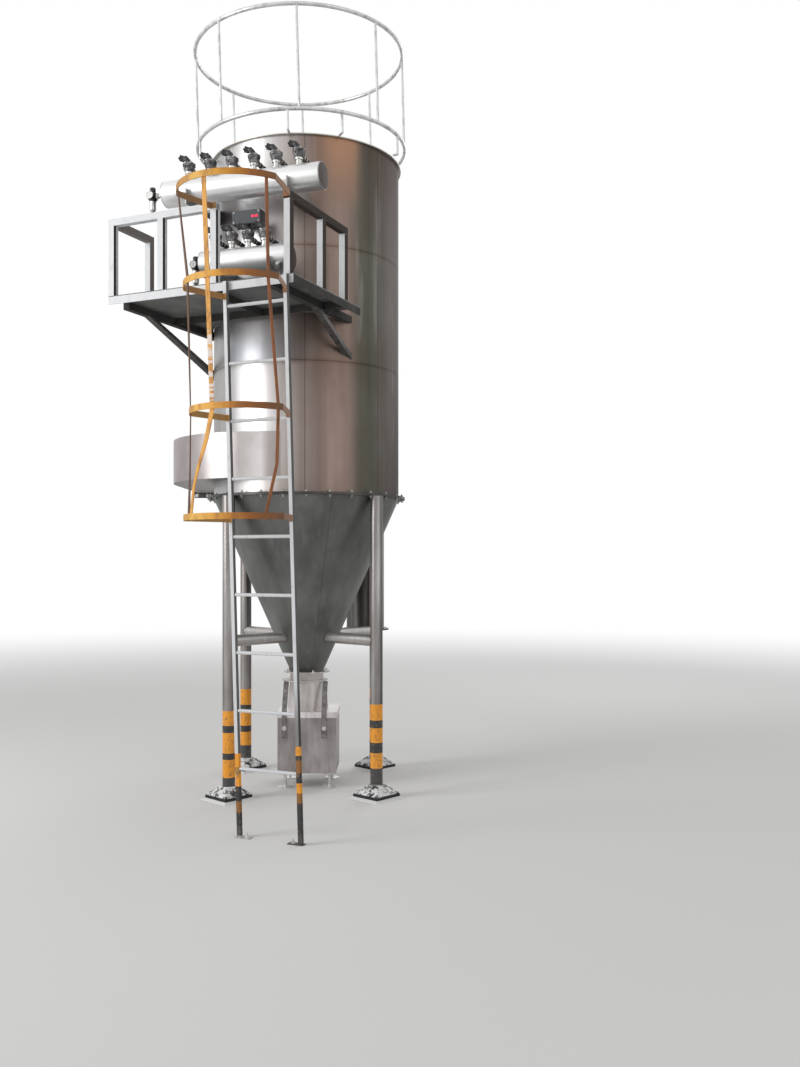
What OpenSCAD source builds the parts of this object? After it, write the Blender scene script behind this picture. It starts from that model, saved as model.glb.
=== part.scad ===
// Cyclone dust separator on four pipe legs, with a service platform and caged ladder.
// Lengths are in millimetres. Origin: on the vessel's axis at floor level, +Z up,
// and +Y along the straight inlet duct, away from its scroll.

/* [Vessel] */
// Outer diameter of the cylindrical shell
shell_od = 1200; // [1120:10:1300]
// Wall thickness of the shell and the cone
shell_wall = 4; // [3:1:10]
// Height of the joint between the shell and the cone above the floor
joint_z = 1860; // [1780:10:2000]
// Length of the cylindrical shell
shell_len = 2140; // [2060:10:2600]
// Thickness of the roof plate
roof_thick = 6; // [4:1:12]
// How far the roof plate reaches past the shell
roof_lip = 15; // [8:1:30]

/* [Cone] */
// Height of the cone from the joint to its outlet
cone_len = 1115; // [900:5:1200]
// Outer diameter of the cone's outlet
cone_outlet_od = 216; // [150:2:300]
// How far the main flanges reach past the shell
flange_reach = 42; // [30:1:80]
// Thickness of each main flange
flange_thick = 8; // [6:1:16]

/* [Discharge] */
// How far the outlet flange and the slide gate reach past the cone's outlet
outlet_flange_reach = 40; // [24:1:70]
// Thickness of the outlet flange and the slide gate
outlet_flange_thick = 8; // [5:1:14]
// Distance from the outlet flange down to the slide gate
gate_drop = 54; // [24:1:60]
// Diameter of the spout at the slide gate
spout_top_od = 236; // [200:2:260]
// Diameter of the spout at the bin lid
spout_foot_od = 264; // [200:2:300]

/* [Dust bin] */
// Width and depth of the dust bin
bin_w = 372; // [300:2:460]
// Height of the top of the bin lid above the floor
bin_top = 490; // [440:5:540]
// Height of the lid's skirt
lid_h = 36; // [20:2:60]
// Sideways offset of the bin from the vessel axis
bin_x = 15; // [0:1:30]
// Width of the two clamp straps
clamp_w = 20; // [12:1:30]
// Distance between the clamp straps
clamp_span = 252; // [200:2:270]
// Ground clearance under the bin
bin_clear = 100; // [60:5:140]
// Wall thickness of the bin
bin_wall = 3; // [2:1:6]

/* [Inlet] */
// Height of the underside of the inlet above the shell joint
inlet_rise = 95; // [40:5:200]
// Outside height of the inlet
inlet_h = 276; // [160:2:400]
// Outside width of the inlet duct
inlet_w = 280; // [160:5:320]
// Distance from the vessel axis to the face of the inlet flange
inlet_reach = 900; // [760:10:1200]
// Wall thickness of the inlet and outlet ducts
duct_wall = 3; // [2:1:6]
// Angle round the shell where the scroll begins
scroll_start = -100; // [-110:1:-80]
// Distance behind the vessel axis where the scroll's outer wall runs straight
scroll_turn = 100; // [40:5:200]
// Width of the flange angle around the inlet
inlet_flange_reach = 35; // [25:1:60]

/* [Outlet] */
// Outer diameter of the clean air duct
outlet_od = 270; // [160:5:320]
// Angle round the shell where the clean air duct leaves
outlet_angle = 63; // [60:1:80]
// Bend radius of the outlet elbow, measured at its centre line
elbow_r = 190; // [180:5:260]
// Distance from the top of the shell down to the elbow's centre line
outlet_drop = 300; // [220:10:600]
// Height of the lower face of the clean air duct's flange
outlet_foot_z = 957; // [800:5:1600]
// How far the duct flange reaches past the duct
duct_flange_reach = 35; // [25:1:60]

/* [Legs] */
// Outer diameter of the leg pipes
leg_od = 76; // [60:1:100]
// Wall thickness of the leg and brace pipes
pipe_wall = 4; // [3:1:8]
// Distance from the shell's face out to the centre of each leg
leg_out = 37; // [20:1:50]
// Turn of the set of legs about the vessel axis
leg_turn = 2; // [-10:1:4]
// Outer diameter of the brace pipes
brace_od = 66; // [40:1:76]
// Height of the braces above the floor
brace_z = 965; // [880:5:1200]
// Side of the square foot pads
pad_side = 237; // [200:1:280]
// Height of the grout heaped on each pad
pad_h = 85; // [50:1:120]
// Thickness of the pad's steel plate
pad_plate = 20; // [10:1:30]

/* [Platform] */
// Turn of the platform and ladder about the vessel axis
platform_turn = -23.5; // [-40:0.5:0]
// Width of the platform
deck_w = 1186; // [1160:2:1300]
// Sideways offset of the platform from the vessel axis
deck_shift = 36; // [24:2:60]
// How far the platform stands out from the face of the shell
deck_reach = 693; // [600:1:800]
// Distance from the vessel axis to the platform's back edge
deck_back = 200; // [180:5:240]
// Height of the deck's walking surface
deck_top = 2940; // [2860:5:3000]
// Thickness of the deck plate
deck_plate_t = 5; // [3:1:10]
// Height of the edge angles and bracket arms
frame_h = 42; // [30:1:80]
// Thickness of the edge angles
frame_t = 5; // [4:1:10]
// Height of the handrail above the deck
rail_h = 430; // [380:5:600]
// Width of the square handrail tube
rail_w = 38; // [25:1:50]
// Wall thickness of the handrail and ladder tubes
rail_wall = 2.5; // [2:0.5:4]
// Distance from the left corner post to the next post
post_gap = 333; // [250:1:380]
// Length of the handrail on the left side
rail_left_len = 326; // [250:1:420]
// Distance from the front to the middle post on the right side
rail_mid_len = 362; // [250:1:420]
// Length of the handrail on the right side
rail_right_len = 632; // [500:1:720]
// Distance from the gate's left post to the ladder
gate_gap = 85; // [50:1:120]
// How far from the shell's face the cross member under the deck lies
cross_out = 120; // [80:5:300]
// Sideways place of the joist under the middle of the deck
joist_x = 90; // [-100:5:200]
// Distance of the left edge angle's end from the front of the deck
side_in = 130; // [0:5:200]
// Distance of the right bracket from the vessel axis
bracket_right_x = 475; // [440:1:530]
// How far from the shell's face the right strut meets the deck
bracket_right_out = 180; // [120:5:400]
// How far from the shell's face the left strut meets the deck
bracket_left_out = 370; // [150:5:450]
// Width of the brackets' struts
strut_w = 40; // [30:1:60]
// Height of the brackets' struts
strut_t = 34; // [20:1:50]
// Height of the deck above the lower end of the right bracket
bracket_right_drop = 270; // [200:5:400]
// Height of the deck above the lower end of the left bracket
bracket_left_drop = 310; // [200:5:400]

/* [Ladder] */
// Distance between the centres of the ladder stiles
ladder_w = 366; // [320:2:372]
// Width of the square stile tube
stile_w = 22; // [20:1:40]
// Centre of the ladder's top, sideways from the vessel axis
ladder_top_x = 407; // [380:1:410]
// How far the ladder's feet stand sideways of its top
ladder_lean = 89; // [0:1:120]
// Distance between rungs
rung_pitch = 305; // [250:1:310]
// Height of the lowest rung
rung_first = 362; // [250:5:400]
// Diameter of the rungs
rung_d = 18; // [14:1:30]

/* [Cage] */
// Depth of the cage in front of the ladder
cage_depth = 405; // [380:5:500]
// Height of the cage's lowest hoop
cage_foot = 1658; // [1500:5:1900]
// Distance from the lowest hoop up to the next one
hoop_step = 536; // [400:1:600]
// Distance from the deck's surface down to the second hoop
hoop_drop = 103; // [60:1:150]
// Width of the cage's upright straps
strap_w = 30; // [20:1:40]
// Width of the cage's flat bars
cage_bar_w = 32; // [20:1:50]
// Thickness of the cage's flat bars
cage_bar_t = 5; // [3:1:8]

/* [Pulse cleaning] */
// Turn of the air headers about the vessel axis
header_turn = -18; // [-30:0.5:0]
// Outer diameter of the air headers
header_od = 156; // [120:2:168]
// Distance from the face of the shell to the headers' centre line
header_out = 182; // [160:1:260]
// Length of the upper header
header_upper_len = 1040; // [960:5:1200]
// Sideways offset of the upper header
header_upper_x = -70; // [-100:1:0]
// Height of the upper header's centre line above the deck
header_upper_h = 710; // [680:5:760]
// Length of the lower header
header_lower_len = 590; // [520:5:700]
// Sideways offset of the lower header
header_lower_x = -45; // [-80:1:0]
// Height of the lower header's centre line above the deck
header_lower_h = 268; // [220:2:300]
// Distance between the pulse valves of the upper header
upper_pitch = 142; // [130:1:160]
// Number of pulse valves on the upper header
upper_count = 6; // [3:1:6]
// Distance between the pulse valves of the lower header
lower_pitch = 106; // [100:1:120]
// Number of pulse valves on the lower header
lower_count = 4; // [2:1:4]
// Diameter of the pulse valve bonnets
bonnet_d = 76; // [60:1:90]
// Diameter of the pipes between the headers, valves and shell
blow_d = 34; // [24:1:44]
// Thickness of the header bracket plates
bracket_t = 8; // [5:1:12]
// Width of the timer box
timer_w = 180; // [140:2:240]
// Height of the timer box
timer_h = 78; // [60:2:110]

/* [Roof guard rail] */
// Distance from the face of the shell out to the guard rail rings
guard_out = 72; // [50:1:110]
// Diameter of the ring tube
guard_tube_d = 24; // [16:1:34]
// How far the guard rail stands off centre
guard_shift = -28; // [-40:1:40]
// Turn of the guard rail posts about the vessel axis
guard_turn = 4; // [-20:1:20]
// Sideways lean of the guard rail in degrees
guard_lean = 1.6; // [0:0.1:2.5]
// Height of the lower ring above the roof
guard_low = 118; // [80:2:200]
// Height of the upper ring above the roof
guard_high = 738; // [500:2:1100]
// Diameter of the guard rail posts
guard_post_d = 16; // [12:1:25]

/* [Hidden] */
$fn = 180;
// Clearance left at welded seats between curved pieces
weld_gap = 0.3;
shell_r = shell_od / 2;
shell_top = joint_z + shell_len;
roof_z = shell_top + roof_thick;
flange_r = shell_r + flange_reach;
cone_foot_z = joint_z - flange_thick - cone_len;
gate_z = cone_foot_z - gate_drop;
outlet_flange_od = cone_outlet_od + 2 * outlet_flange_reach;
outlet_z = shell_top - outlet_drop;
leg_radius = shell_r + leg_out;
deck_front = shell_r + deck_reach;
header_dist = shell_r + header_out;
guard_r = shell_r + guard_out;
steel = [0.72, 0.72, 0.70];
dull_steel = [0.45, 0.49, 0.46];
white_paint = [0.86, 0.88, 0.90];
cage_orange = [0.85, 0.48, 0.06];
dark_grey = [0.22, 0.24, 0.25];

module ring(od, id, h) {
    difference() {
        cylinder(d = od, h = h);
        translate([0, 0, -1]) cylinder(d = id, h = h + 2);
    }
}

module on_platform() {
    rotate([0, 0, platform_turn]) children();
}

module on_headers() {
    rotate([0, 0, header_turn]) children();
}

// Vessel shell
inlet_z = joint_z + inlet_rise;

module shell_wall() {
    color(steel) difference() {
        translate([0, 0, joint_z]) ring(shell_od, shell_od - 2 * shell_wall, shell_len);
        translate([-shell_od, -shell_od, inlet_z + duct_wall])
            cube([shell_od + shell_r * cos(scroll_start) - 30, shell_od - 20, inlet_h - 2 * duct_wall]);
        rotate([0, 0, outlet_angle]) translate([shell_r / 2, 0, outlet_z]) rotate([0, 90, 0])
            cylinder(d = outlet_od - 2 * duct_wall, h = shell_r);
    }
}

module roof_plate() {
    color(steel) translate([0, 0, shell_top]) cylinder(r = shell_r + roof_lip, h = roof_thick);
}

module shell_flange() {
    color(dull_steel) translate([0, 0, joint_z])
        ring(2 * flange_r, shell_od + 2 * weld_gap, flange_thick);
}

// Cone and discharge
module cone_flange() {
    color(dull_steel) translate([0, 0, joint_z - flange_thick])
        ring(2 * flange_r, shell_od - 2 * shell_wall, flange_thick);
}

module cone_form(grow, past) {
    slope = (shell_od - cone_outlet_od) / 2 / cone_len;
    translate([0, 0, cone_foot_z - past])
        cylinder(r1 = cone_outlet_od / 2 - slope * past + grow,
                 r2 = shell_r + slope * past + grow, h = cone_len + 2 * past);
}

module cone_hopper() {
    color(dull_steel) difference() {
        cone_form(0, 0);
        cone_form(-shell_wall, 10);
    }
}

module outlet_flange() {
    color(steel) translate([0, 0, cone_foot_z - outlet_flange_thick])
        ring(outlet_flange_od, cone_outlet_od - 2 * shell_wall, outlet_flange_thick);
}

// The gate's plate is pushed a little to one side, and a short collar joins it to the cone
gate_slip = 12;

module slide_gate() {
    color(steel) {
        translate([0, 0, gate_z])
            ring(cone_outlet_od, cone_outlet_od - 2 * shell_wall, gate_drop - outlet_flange_thick);
        translate([-gate_slip, 0, gate_z - outlet_flange_thick])
            ring(outlet_flange_od, cone_outlet_od - 2 * (2 * shell_wall + gate_slip), outlet_flange_thick);
    }
}

spout_top = gate_z - outlet_flange_thick;

module discharge_spout() {
    spout_h = spout_top - bin_top;
    color(steel) difference() {
        translate([bin_x / 2, 0, bin_top])
            cylinder(d1 = spout_foot_od, d2 = spout_top_od, h = spout_h);
        translate([bin_x / 2, 0, bin_top - 1])
            cylinder(d1 = spout_foot_od - 2 * shell_wall, d2 = spout_top_od - 2 * shell_wall, h = spout_h + 2);
    }
}

// Dust bin
module bin_lid() {
    color(steel) translate([bin_x, 0, bin_top - lid_h]) difference() {
        translate([-bin_w / 2 - lid_out, -bin_w / 2 - lid_out, 0])
            cube([bin_w + 2 * lid_out, bin_w + 2 * lid_out, lid_h]);
        translate([-bin_w / 2 - 0.5, -bin_w / 2 - 0.5, -1]) cube([bin_w + 1, bin_w + 1, lid_h - 3]);
        cylinder(d = spout_foot_od - 2 * shell_wall - bin_x, h = lid_h + 10);
    }
}

module bin_body() {
    body_h = bin_top - 4.3 - bin_clear;
    color(steel) translate([bin_x, 0, bin_clear]) difference() {
        translate([-bin_w / 2, -bin_w / 2, 0]) cube([bin_w, bin_w, body_h]);
        translate([-bin_w / 2 + bin_wall, -bin_w / 2 + bin_wall, bin_wall])
            cube([bin_w - 2 * bin_wall, bin_w - 2 * bin_wall, body_h]);
    }
}

// Two straps pull the bin up against the slide gate
lid_out = 6;
clamp_t = 6;
clamp_reach = 130;

module bin_clamps() {
    front = -bin_w / 2 - lid_out - weld_gap;
    hook = -outlet_flange_od / 2 * cos(asin(clamp_span / outlet_flange_od)) - weld_gap;
    color(dark_grey) for (side = [-1, 1])
        translate([side * clamp_span / 2 - clamp_w / 2, 0, 0]) rotate([90, 0, 90]) linear_extrude(clamp_w)
            polygon([[hook, spout_top], [hook - clamp_t, spout_top], [front - clamp_t, bin_top + 12],
                     [front - clamp_t, bin_top - lid_h - clamp_reach], [front, bin_top - lid_h - clamp_reach],
                     [front, bin_top + 8], [hook, spout_top - 12]]);
}

foot_in = 45;
foot_base_d = 92;
foot_head_d = 76;
foot_stem_d = 20;

module bin_feet() {
    place = bin_w / 2 - foot_in;
    color(dark_grey) for (x = [-place, place]) for (y = [-place, place])
        translate([bin_x + x, y, 0]) {
            cylinder(d = foot_base_d, h = 8);
            cylinder(d = foot_stem_d, h = bin_clear - 10);
            translate([0, 0, bin_clear - 12]) cylinder(d = foot_head_d, h = 12);
        }
}

// Inlet scroll: its outer wall is an arc that starts on the shell and ends square to the duct
scroll_dx = shell_r * cos(scroll_start) + shell_r + inlet_w;
scroll_dy = shell_r * sin(scroll_start) - scroll_turn;
scroll_r = (pow(scroll_dx, 2) + pow(scroll_dy, 2)) / (2 * scroll_dx);
scroll_x = scroll_r - shell_r - inlet_w;
scroll_y = scroll_turn;

module scroll_plan(wall) {
    intersection() {
        translate([scroll_x, scroll_y]) circle(r = scroll_r - wall);
        union() {
            translate([-2 * shell_od, -2 * shell_od])
                square([2 * shell_od + shell_r * cos(scroll_start), 2 * shell_od]);
            translate([-2 * shell_od, -1]) square([2 * shell_od - shell_r - wall, scroll_y + 2]);
        }
    }
    translate([-shell_r - inlet_w + wall, scroll_y]) square([inlet_w - 2 * wall, inlet_reach - scroll_y + wall]);
}

module inlet_scroll() {
    color(steel) difference() {
        translate([0, 0, inlet_z]) intersection() {
            linear_extrude(inlet_h) scroll_plan(0);
            translate([-2 * shell_od, -2 * shell_od, 0]) cube([4 * shell_od, 2 * shell_od + inlet_reach, inlet_h]);
        }
        translate([0, 0, inlet_z + duct_wall]) linear_extrude(inlet_h - 2 * duct_wall) scroll_plan(duct_wall);
        translate([0, 0, inlet_z - 1]) cylinder(r = shell_r + weld_gap, h = inlet_h + 2);
    }
}

module inlet_flange() {
    reach = inlet_flange_reach;
    hole_x = inlet_w / 2 + reach / 2;
    hole_z = inlet_h / 2 + reach / 2;
    color(dull_steel) translate([-shell_r - inlet_w / 2, inlet_reach, inlet_z + inlet_h / 2]) difference() {
        translate([-inlet_w / 2 - reach, -flange_thick, -inlet_h / 2 - reach])
            cube([inlet_w + 2 * reach, flange_thick, inlet_h + 2 * reach]);
        translate([-inlet_w / 2 - weld_gap, -flange_thick - 1, -inlet_h / 2 - weld_gap])
            cube([inlet_w + 2 * weld_gap, flange_thick + 2, inlet_h + 2 * weld_gap]);
        for (x = [-hole_x, hole_x]) for (z = [-hole_z, hole_z])
            translate([x, 1, z]) rotate([90, 0, 0]) cylinder(d = 11, h = flange_thick + 2);
    }
}

// Clean air outlet
outlet_dist = shell_r + elbow_r;

module outlet_elbow() {
    color(steel) rotate([0, 0, outlet_angle]) difference() {
        union() {
            translate([shell_r, 0, outlet_z - elbow_r]) rotate([90, 0, 0])
                rotate_extrude(angle = 90) translate([elbow_r, 0]) circle(d = outlet_od);
            translate([shell_r - 40, 0, outlet_z]) rotate([0, 90, 0]) cylinder(d = outlet_od, h = 40);
        }
        translate([shell_r, 0, outlet_z - elbow_r]) rotate([90, 0, 0])
            rotate_extrude(angle = 90) translate([elbow_r, 0]) circle(d = outlet_od - 2 * duct_wall);
        translate([shell_r - 50, 0, outlet_z]) rotate([0, 90, 0])
            cylinder(d = outlet_od - 2 * duct_wall, h = 50);
        translate([0, 0, outlet_z - outlet_od]) cylinder(r = shell_r + weld_gap, h = 2 * outlet_od);
    }
}

module outlet_duct() {
    color(steel) rotate([0, 0, outlet_angle]) translate([outlet_dist, 0, outlet_foot_z])
        ring(outlet_od, outlet_od - 2 * duct_wall, outlet_z - elbow_r - outlet_foot_z);
}

module duct_flange() {
    flange_od = outlet_od + 2 * duct_flange_reach;
    color(dull_steel) rotate([0, 0, outlet_angle]) translate([outlet_dist, 0, outlet_foot_z]) difference() {
        ring(flange_od, outlet_od + 2 * weld_gap, flange_thick);
        for (i = [0:7]) rotate([0, 0, i * 45 + 22.5]) translate([outlet_od / 2 + duct_flange_reach / 2, 0, -1])
            cylinder(d = 11, h = flange_thick + 2);
    }
}

// Legs, braces and pads
leg_angles = [-45, 45, 135, -135];
leg_top = joint_z - flange_thick;

module at_leg(i) {
    rotate([0, 0, leg_angles[i] + leg_turn]) children();
}

module leg(i) {
    color(steel) at_leg(i) translate([leg_radius, 0, pad_h - 10])
        ring(leg_od, leg_od - 2 * pipe_wall, leg_top - pad_h + 10);
}

module leg_front_right() { leg(0); }
module leg_back_right() { leg(1); }
module leg_back_left() { leg(2); }
module leg_front_left() { leg(3); }

module leg_braces() {
    color(steel) for (i = [0:3]) at_leg(i) difference() {
        translate([0, 0, brace_z]) rotate([0, 90, 0]) cylinder(d = brace_od, h = leg_radius);
        translate([-1, 0, brace_z]) rotate([0, 90, 0]) cylinder(d = brace_od - 2 * pipe_wall, h = leg_radius);
        cone_form(weld_gap, 10);
        translate([leg_radius, 0, 0]) cylinder(r = leg_od / 2 + weld_gap, h = leg_top);
    }
}

module foot_pads() {
    color([0.8, 0.8, 0.78]) for (i = [0:3]) at_leg(i) translate([leg_radius, 0, 0]) {
        difference() {
            union() {
                translate([-pad_side / 2, -pad_side / 2, 0]) cube([pad_side, pad_side, pad_plate]);
                translate([0, 0, pad_plate - 0.01]) rotate([0, 0, 45])
                    cylinder(r1 = pad_side / sqrt(2) - 12, r2 = leg_od / sqrt(2) + 10,
                             h = pad_h - pad_plate, $fn = 4);
            }
            translate([0, 0, pad_h - 10]) cylinder(r = leg_od / 2 + weld_gap, h = 20);
        }
    }
}

// Platform: a plate cut round the shell, edge angles under it and two brackets
deck_x0 = deck_shift - deck_w / 2;
deck_x1 = deck_shift + deck_w / 2;
deck_under = deck_top - deck_plate_t;
shell_clear = 3;

module deck_plate() {
    color(dark_grey) on_platform() difference() {
        translate([deck_x0, -deck_front, deck_under]) cube([deck_w, deck_front - deck_back, deck_plate_t]);
        translate([0, 0, deck_under - 1]) cylinder(r = shell_r + shell_clear, h = deck_plate_t + 2);
    }
}

// Each bracket is a flat strut from an arm under the deck down to the shell
brackets = [
    [deck_x0 + strut_w / 2, shell_r + bracket_left_out, bracket_left_drop],
    [bracket_right_x, shell_r + bracket_right_out, bracket_right_drop]
];

module deck_frame() {
    side_len = deck_front - frame_t - deck_back;
    color(white_paint) on_platform() difference() {
        translate([0, 0, deck_under - frame_h]) {
            translate([deck_x0, -deck_front, 0]) cube([deck_w, frame_t, frame_h]);
            translate([deck_x1 - frame_t, -deck_front + frame_t, 0]) cube([frame_t, side_len, frame_h]);
            translate([deck_x0 + frame_t, -shell_r - cross_out, 0])
                cube([deck_w - 2 * frame_t, frame_t, frame_h]);
            translate([joist_x, frame_t - deck_front, 0]) cube([frame_t, deck_reach - cross_out, frame_h]);
            translate([deck_x0, -deck_front + side_in, 0])
                cube([strut_w, side_len + frame_t - side_in, frame_h]);
            translate([bracket_right_x - strut_w / 2, -deck_front + frame_t, 0])
                cube([strut_w, side_len, frame_h]);
        }
        translate([0, 0, deck_under - frame_h - 1]) cylinder(r = shell_r + weld_gap, h = frame_h + 2);
    }
}

module deck_brackets() {
    arm_z = deck_under - frame_h;
    color(dark_grey) on_platform() difference() {
        for (bracket = brackets) {
            foot_y = strut_t - sqrt(pow(shell_r, 2) - pow(bracket[0], 2));
            foot_z = deck_top - bracket[2];
            translate([bracket[0] - strut_w / 2, 0, 0]) rotate([90, 0, 90]) linear_extrude(strut_w)
                polygon([[-bracket[1], arm_z], [1.6 * strut_t - bracket[1], arm_z],
                         [foot_y, foot_z + strut_t], [foot_y, foot_z]]);
        }
        translate([0, 0, joint_z]) cylinder(r = shell_r + weld_gap, h = shell_len);
    }
}

rail_z = deck_top + rail_h;

post_front_y = -deck_front + rail_w / 2;
post_left_x = deck_x0 + rail_w / 2;
post_right_x = ladder_top_x + ladder_w / 2;
gate_post_x = ladder_top_x - ladder_w / 2 - gate_gap;

module rail_post(x, y) {
    translate([x, y, deck_top]) linear_extrude(rail_h - rail_w) difference() {
        square(rail_w, center = true);
        square(rail_w - 2 * rail_wall, center = true);
    }
}

// A rail lies along +X or +Y from the middle of its first post to the middle of its last
module rail_tube(x, y, len, turn) {
    translate([x, y, rail_z - rail_w / 2]) rotate([90, 0, turn + 90]) translate([0, 0, -rail_w / 2])
        linear_extrude(len + rail_w) difference() {
            square(rail_w, center = true);
            square(rail_w - 2 * rail_wall, center = true);
        }
}

module rail_front() {
    color(white_paint) on_platform() {
        for (x = [post_left_x, post_left_x + post_gap, gate_post_x]) rail_post(x, post_front_y);
        rail_tube(post_left_x, post_front_y, gate_post_x - post_left_x, 0);
    }
}

module rail_left() {
    color(white_paint) on_platform() {
        rail_post(post_left_x, post_front_y + rail_left_len);
        rail_tube(post_left_x, post_front_y + rail_w + weld_gap, rail_left_len - rail_w - weld_gap, 90);
    }
}

module rail_right() {
    color(white_paint) on_platform() {
        for (run = [0, rail_mid_len, rail_right_len]) rail_post(post_right_x, post_front_y + run);
        rail_tube(post_right_x, post_front_y, rail_right_len, 90);
    }
}

// Ladder and cage
ladder_y = -deck_front - stile_w / 2 - weld_gap;
ladder_top = deck_top - deck_plate_t;

function ladder_x(z) = ladder_top_x + ladder_lean * (1 - z / ladder_top);

foot_plate = 60;
foot_plate_t = 5;
foot_edge = 8;

// A leaning square tube, cut level at both ends, on a small foot plate
module stile(side) {
    foot_x = ladder_x(0) + side * ladder_w / 2;
    top_x = ladder_x(ladder_top) + side * ladder_w / 2;
    plate_x = side > 0 ? foot_x - stile_w / 2 - foot_plate : foot_x - stile_w / 2 - foot_edge;
    translate([0, ladder_y + stile_w / 2, 0]) rotate([90, 0, 0]) linear_extrude(stile_w)
        polygon([[foot_x - stile_w / 2, 0], [foot_x + stile_w / 2, 0],
                 [top_x + stile_w / 2, ladder_top], [top_x - stile_w / 2, ladder_top]]);
    translate([plate_x, ladder_y - stile_w / 2 - foot_edge, 0])
        cube([stile_w + foot_plate + foot_edge, stile_w + 2 * foot_edge, foot_plate_t]);
}

module ladder_stile_left() { color(white_paint) on_platform() stile(-1); }
module ladder_stile_right() { color(white_paint) on_platform() stile(1); }

rung_count = floor((ladder_top - rung_first - 2 * rung_d) / rung_pitch) + 1;

module ladder_rungs() {
    color(white_paint) on_platform() for (i = [0:rung_count - 1]) {
        z = rung_first + i * rung_pitch;
        translate([ladder_x(z) - (ladder_w - stile_w) / 2 + 1, ladder_y, z]) rotate([0, 90, 0])
            cylinder(d = rung_d, h = ladder_w - stile_w - 2);
    }
}

stile_front = ladder_y - stile_w / 2;

// Each hand-bent hoop, from the top: height of its lower edge, half its width, and how far
// its middle stands to the left of the ladder's
hoops = [
    [rail_z - 31, 295, 33], [deck_top - hoop_drop, 280, 3],
    [cage_foot + hoop_step, 272, -9], [cage_foot, 295, 23]
];

// A hoop is a bow at the front, and its ends run straight from the bow's ends to the ladder
hoop_bow = 180;

function bow_r(hoop) = (pow(hoop[1], 2) + pow(hoop_bow, 2)) / 2 / hoop_bow;

// Each strap's way down: its angle round the hoops where it crosses them, and a bend between
strap_angles = [[219, 217, 213, 213], [269, 269, 269, 229], [328, 331, 334, 322]];
strap_bends = [212, 250, 337];
bend_z = cage_foot + hoop_step / 2;

function hoop_x(hoop) = ladder_x(hoop[0]) - hoop[2];
function strap_seat(r) = r - 1.5 * cage_bar_t - pow(strap_w, 2) / 8 / r - weld_gap;

// The ground inside a hoop; left and right are where its straight ends meet the seat
module hoop_plan(hoop, left, right, inset) {
    x = hoop_x(hoop);
    side = 1.2 * inset;
    past = 3 * (hoop_bow - cage_depth);
    intersection() {
        translate([x, bow_r(hoop) - cage_depth]) circle(r = bow_r(hoop) - inset);
        polygon([[left + side, inset], [right - side, inset],
                 [right - side + 3 * (x + hoop[1] - right), past], [left + side + 3 * (x - hoop[1] - left), past]]);
    }
}

module cage_hoop(hoop, seat_y, left, right, seat) {
    translate([0, seat_y - weld_gap, hoop[0]]) linear_extrude(cage_bar_w) {
        difference() {
            hoop_plan(hoop, left, right, 0);
            hoop_plan(hoop, left, right, cage_bar_t);
        }
        translate([left, -cage_bar_t]) square([seat, cage_bar_t]);
        translate([right - seat, -cage_bar_t]) square([seat, cage_bar_t]);
    }
}

// The top hoop is fixed to the handrail's posts, the others to the ladder
module cage_hoop_top() {
    left = gate_post_x - rail_w / 2;
    right = post_right_x + rail_w / 2;
    color(cage_orange) on_platform() cage_hoop(hoops[0], -deck_front, left, right, rail_w);
}

module cage_hoops() {
    half = ladder_w / 2 + stile_w / 2;
    color(cage_orange) on_platform() for (hoop = [hoops[1], hoops[2], hoops[3]])
        cage_hoop(hoop, stile_front, ladder_x(hoop[0]) - half, ladder_x(hoop[0]) + half, stile_w);
}

module strap_slice(x, y, z, a) {
    translate([x, y, z]) rotate([0, 0, a]) translate([-cage_bar_t / 2, -strap_w / 2, 0])
        cube([cage_bar_t, strap_w, 1]);
}

// A slice where a strap crosses hoop i, dz above the hoop's lower edge
module strap_at_hoop(i, a, dz) {
    r = bow_r(hoops[i]);
    y = (i == 0 ? -deck_front : stile_front) - weld_gap - cage_depth + r;
    strap_slice(hoop_x(hoops[i]) + strap_seat(r) * cos(a), y + strap_seat(r) * sin(a), hoops[i][0] + dz, a);
}

module strap_bend(a) {
    r = strap_seat(bow_r(hoops[2])) + 12;
    y = stile_front - cage_depth + bow_r(hoops[2]);
    strap_slice(ladder_x(bend_z) - hoops[2][2] + r * cos(a), y + r * sin(a), bend_z, a);
}

module cage_straps() {
    color(cage_orange) on_platform() for (k = [0:2]) union() {
        for (i = [0:3]) hull() {
            strap_at_hoop(i, strap_angles[k][i], -3);
            strap_at_hoop(i, strap_angles[k][i], cage_bar_w + 2);
        }
        for (i = [0:1]) hull() {
            strap_at_hoop(i, strap_angles[k][i], -3);
            strap_at_hoop(i + 1, strap_angles[k][i + 1], cage_bar_w + 2);
        }
        hull() {
            strap_at_hoop(2, strap_angles[k][2], -3);
            strap_bend(strap_bends[k]);
        }
        hull() {
            strap_bend(strap_bends[k]);
            strap_at_hoop(3, strap_angles[k][3], cage_bar_w + 2);
        }
    }
}

// Pulse cleaning: two air headers on plate brackets, with a row of right-angle valves on each
header_upper_z = deck_top + header_upper_h;
header_lower_z = deck_top + header_lower_h;
lower_valve_x = header_lower_x - 45;

function row_x(middle, i, count, pitch) = middle + (i - (count - 1) / 2) * pitch;

module tank(x, z, len) {
    bulge = 14;
    cap_r = pow(header_od, 2) / 8 / bulge + bulge / 2;
    translate([x, -header_dist, z]) rotate([0, 90, 0]) rotate_extrude() {
        translate([0, -len / 2 + bulge]) square([header_od / 2, len - 2 * bulge]);
        for (end = [-1, 1]) intersection() {
            translate([0, end * (len / 2 - cap_r)]) circle(r = cap_r);
            translate([0, end > 0 ? len / 2 - bulge : -len / 2]) square([header_od / 2, bulge]);
        }
    }
}

module header_upper() {
    color(steel) on_headers() tank(header_upper_x, header_upper_z, header_upper_len);
}

module header_lower() {
    color(steel) on_headers() tank(header_lower_x, header_lower_z, header_lower_len);
}

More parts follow.
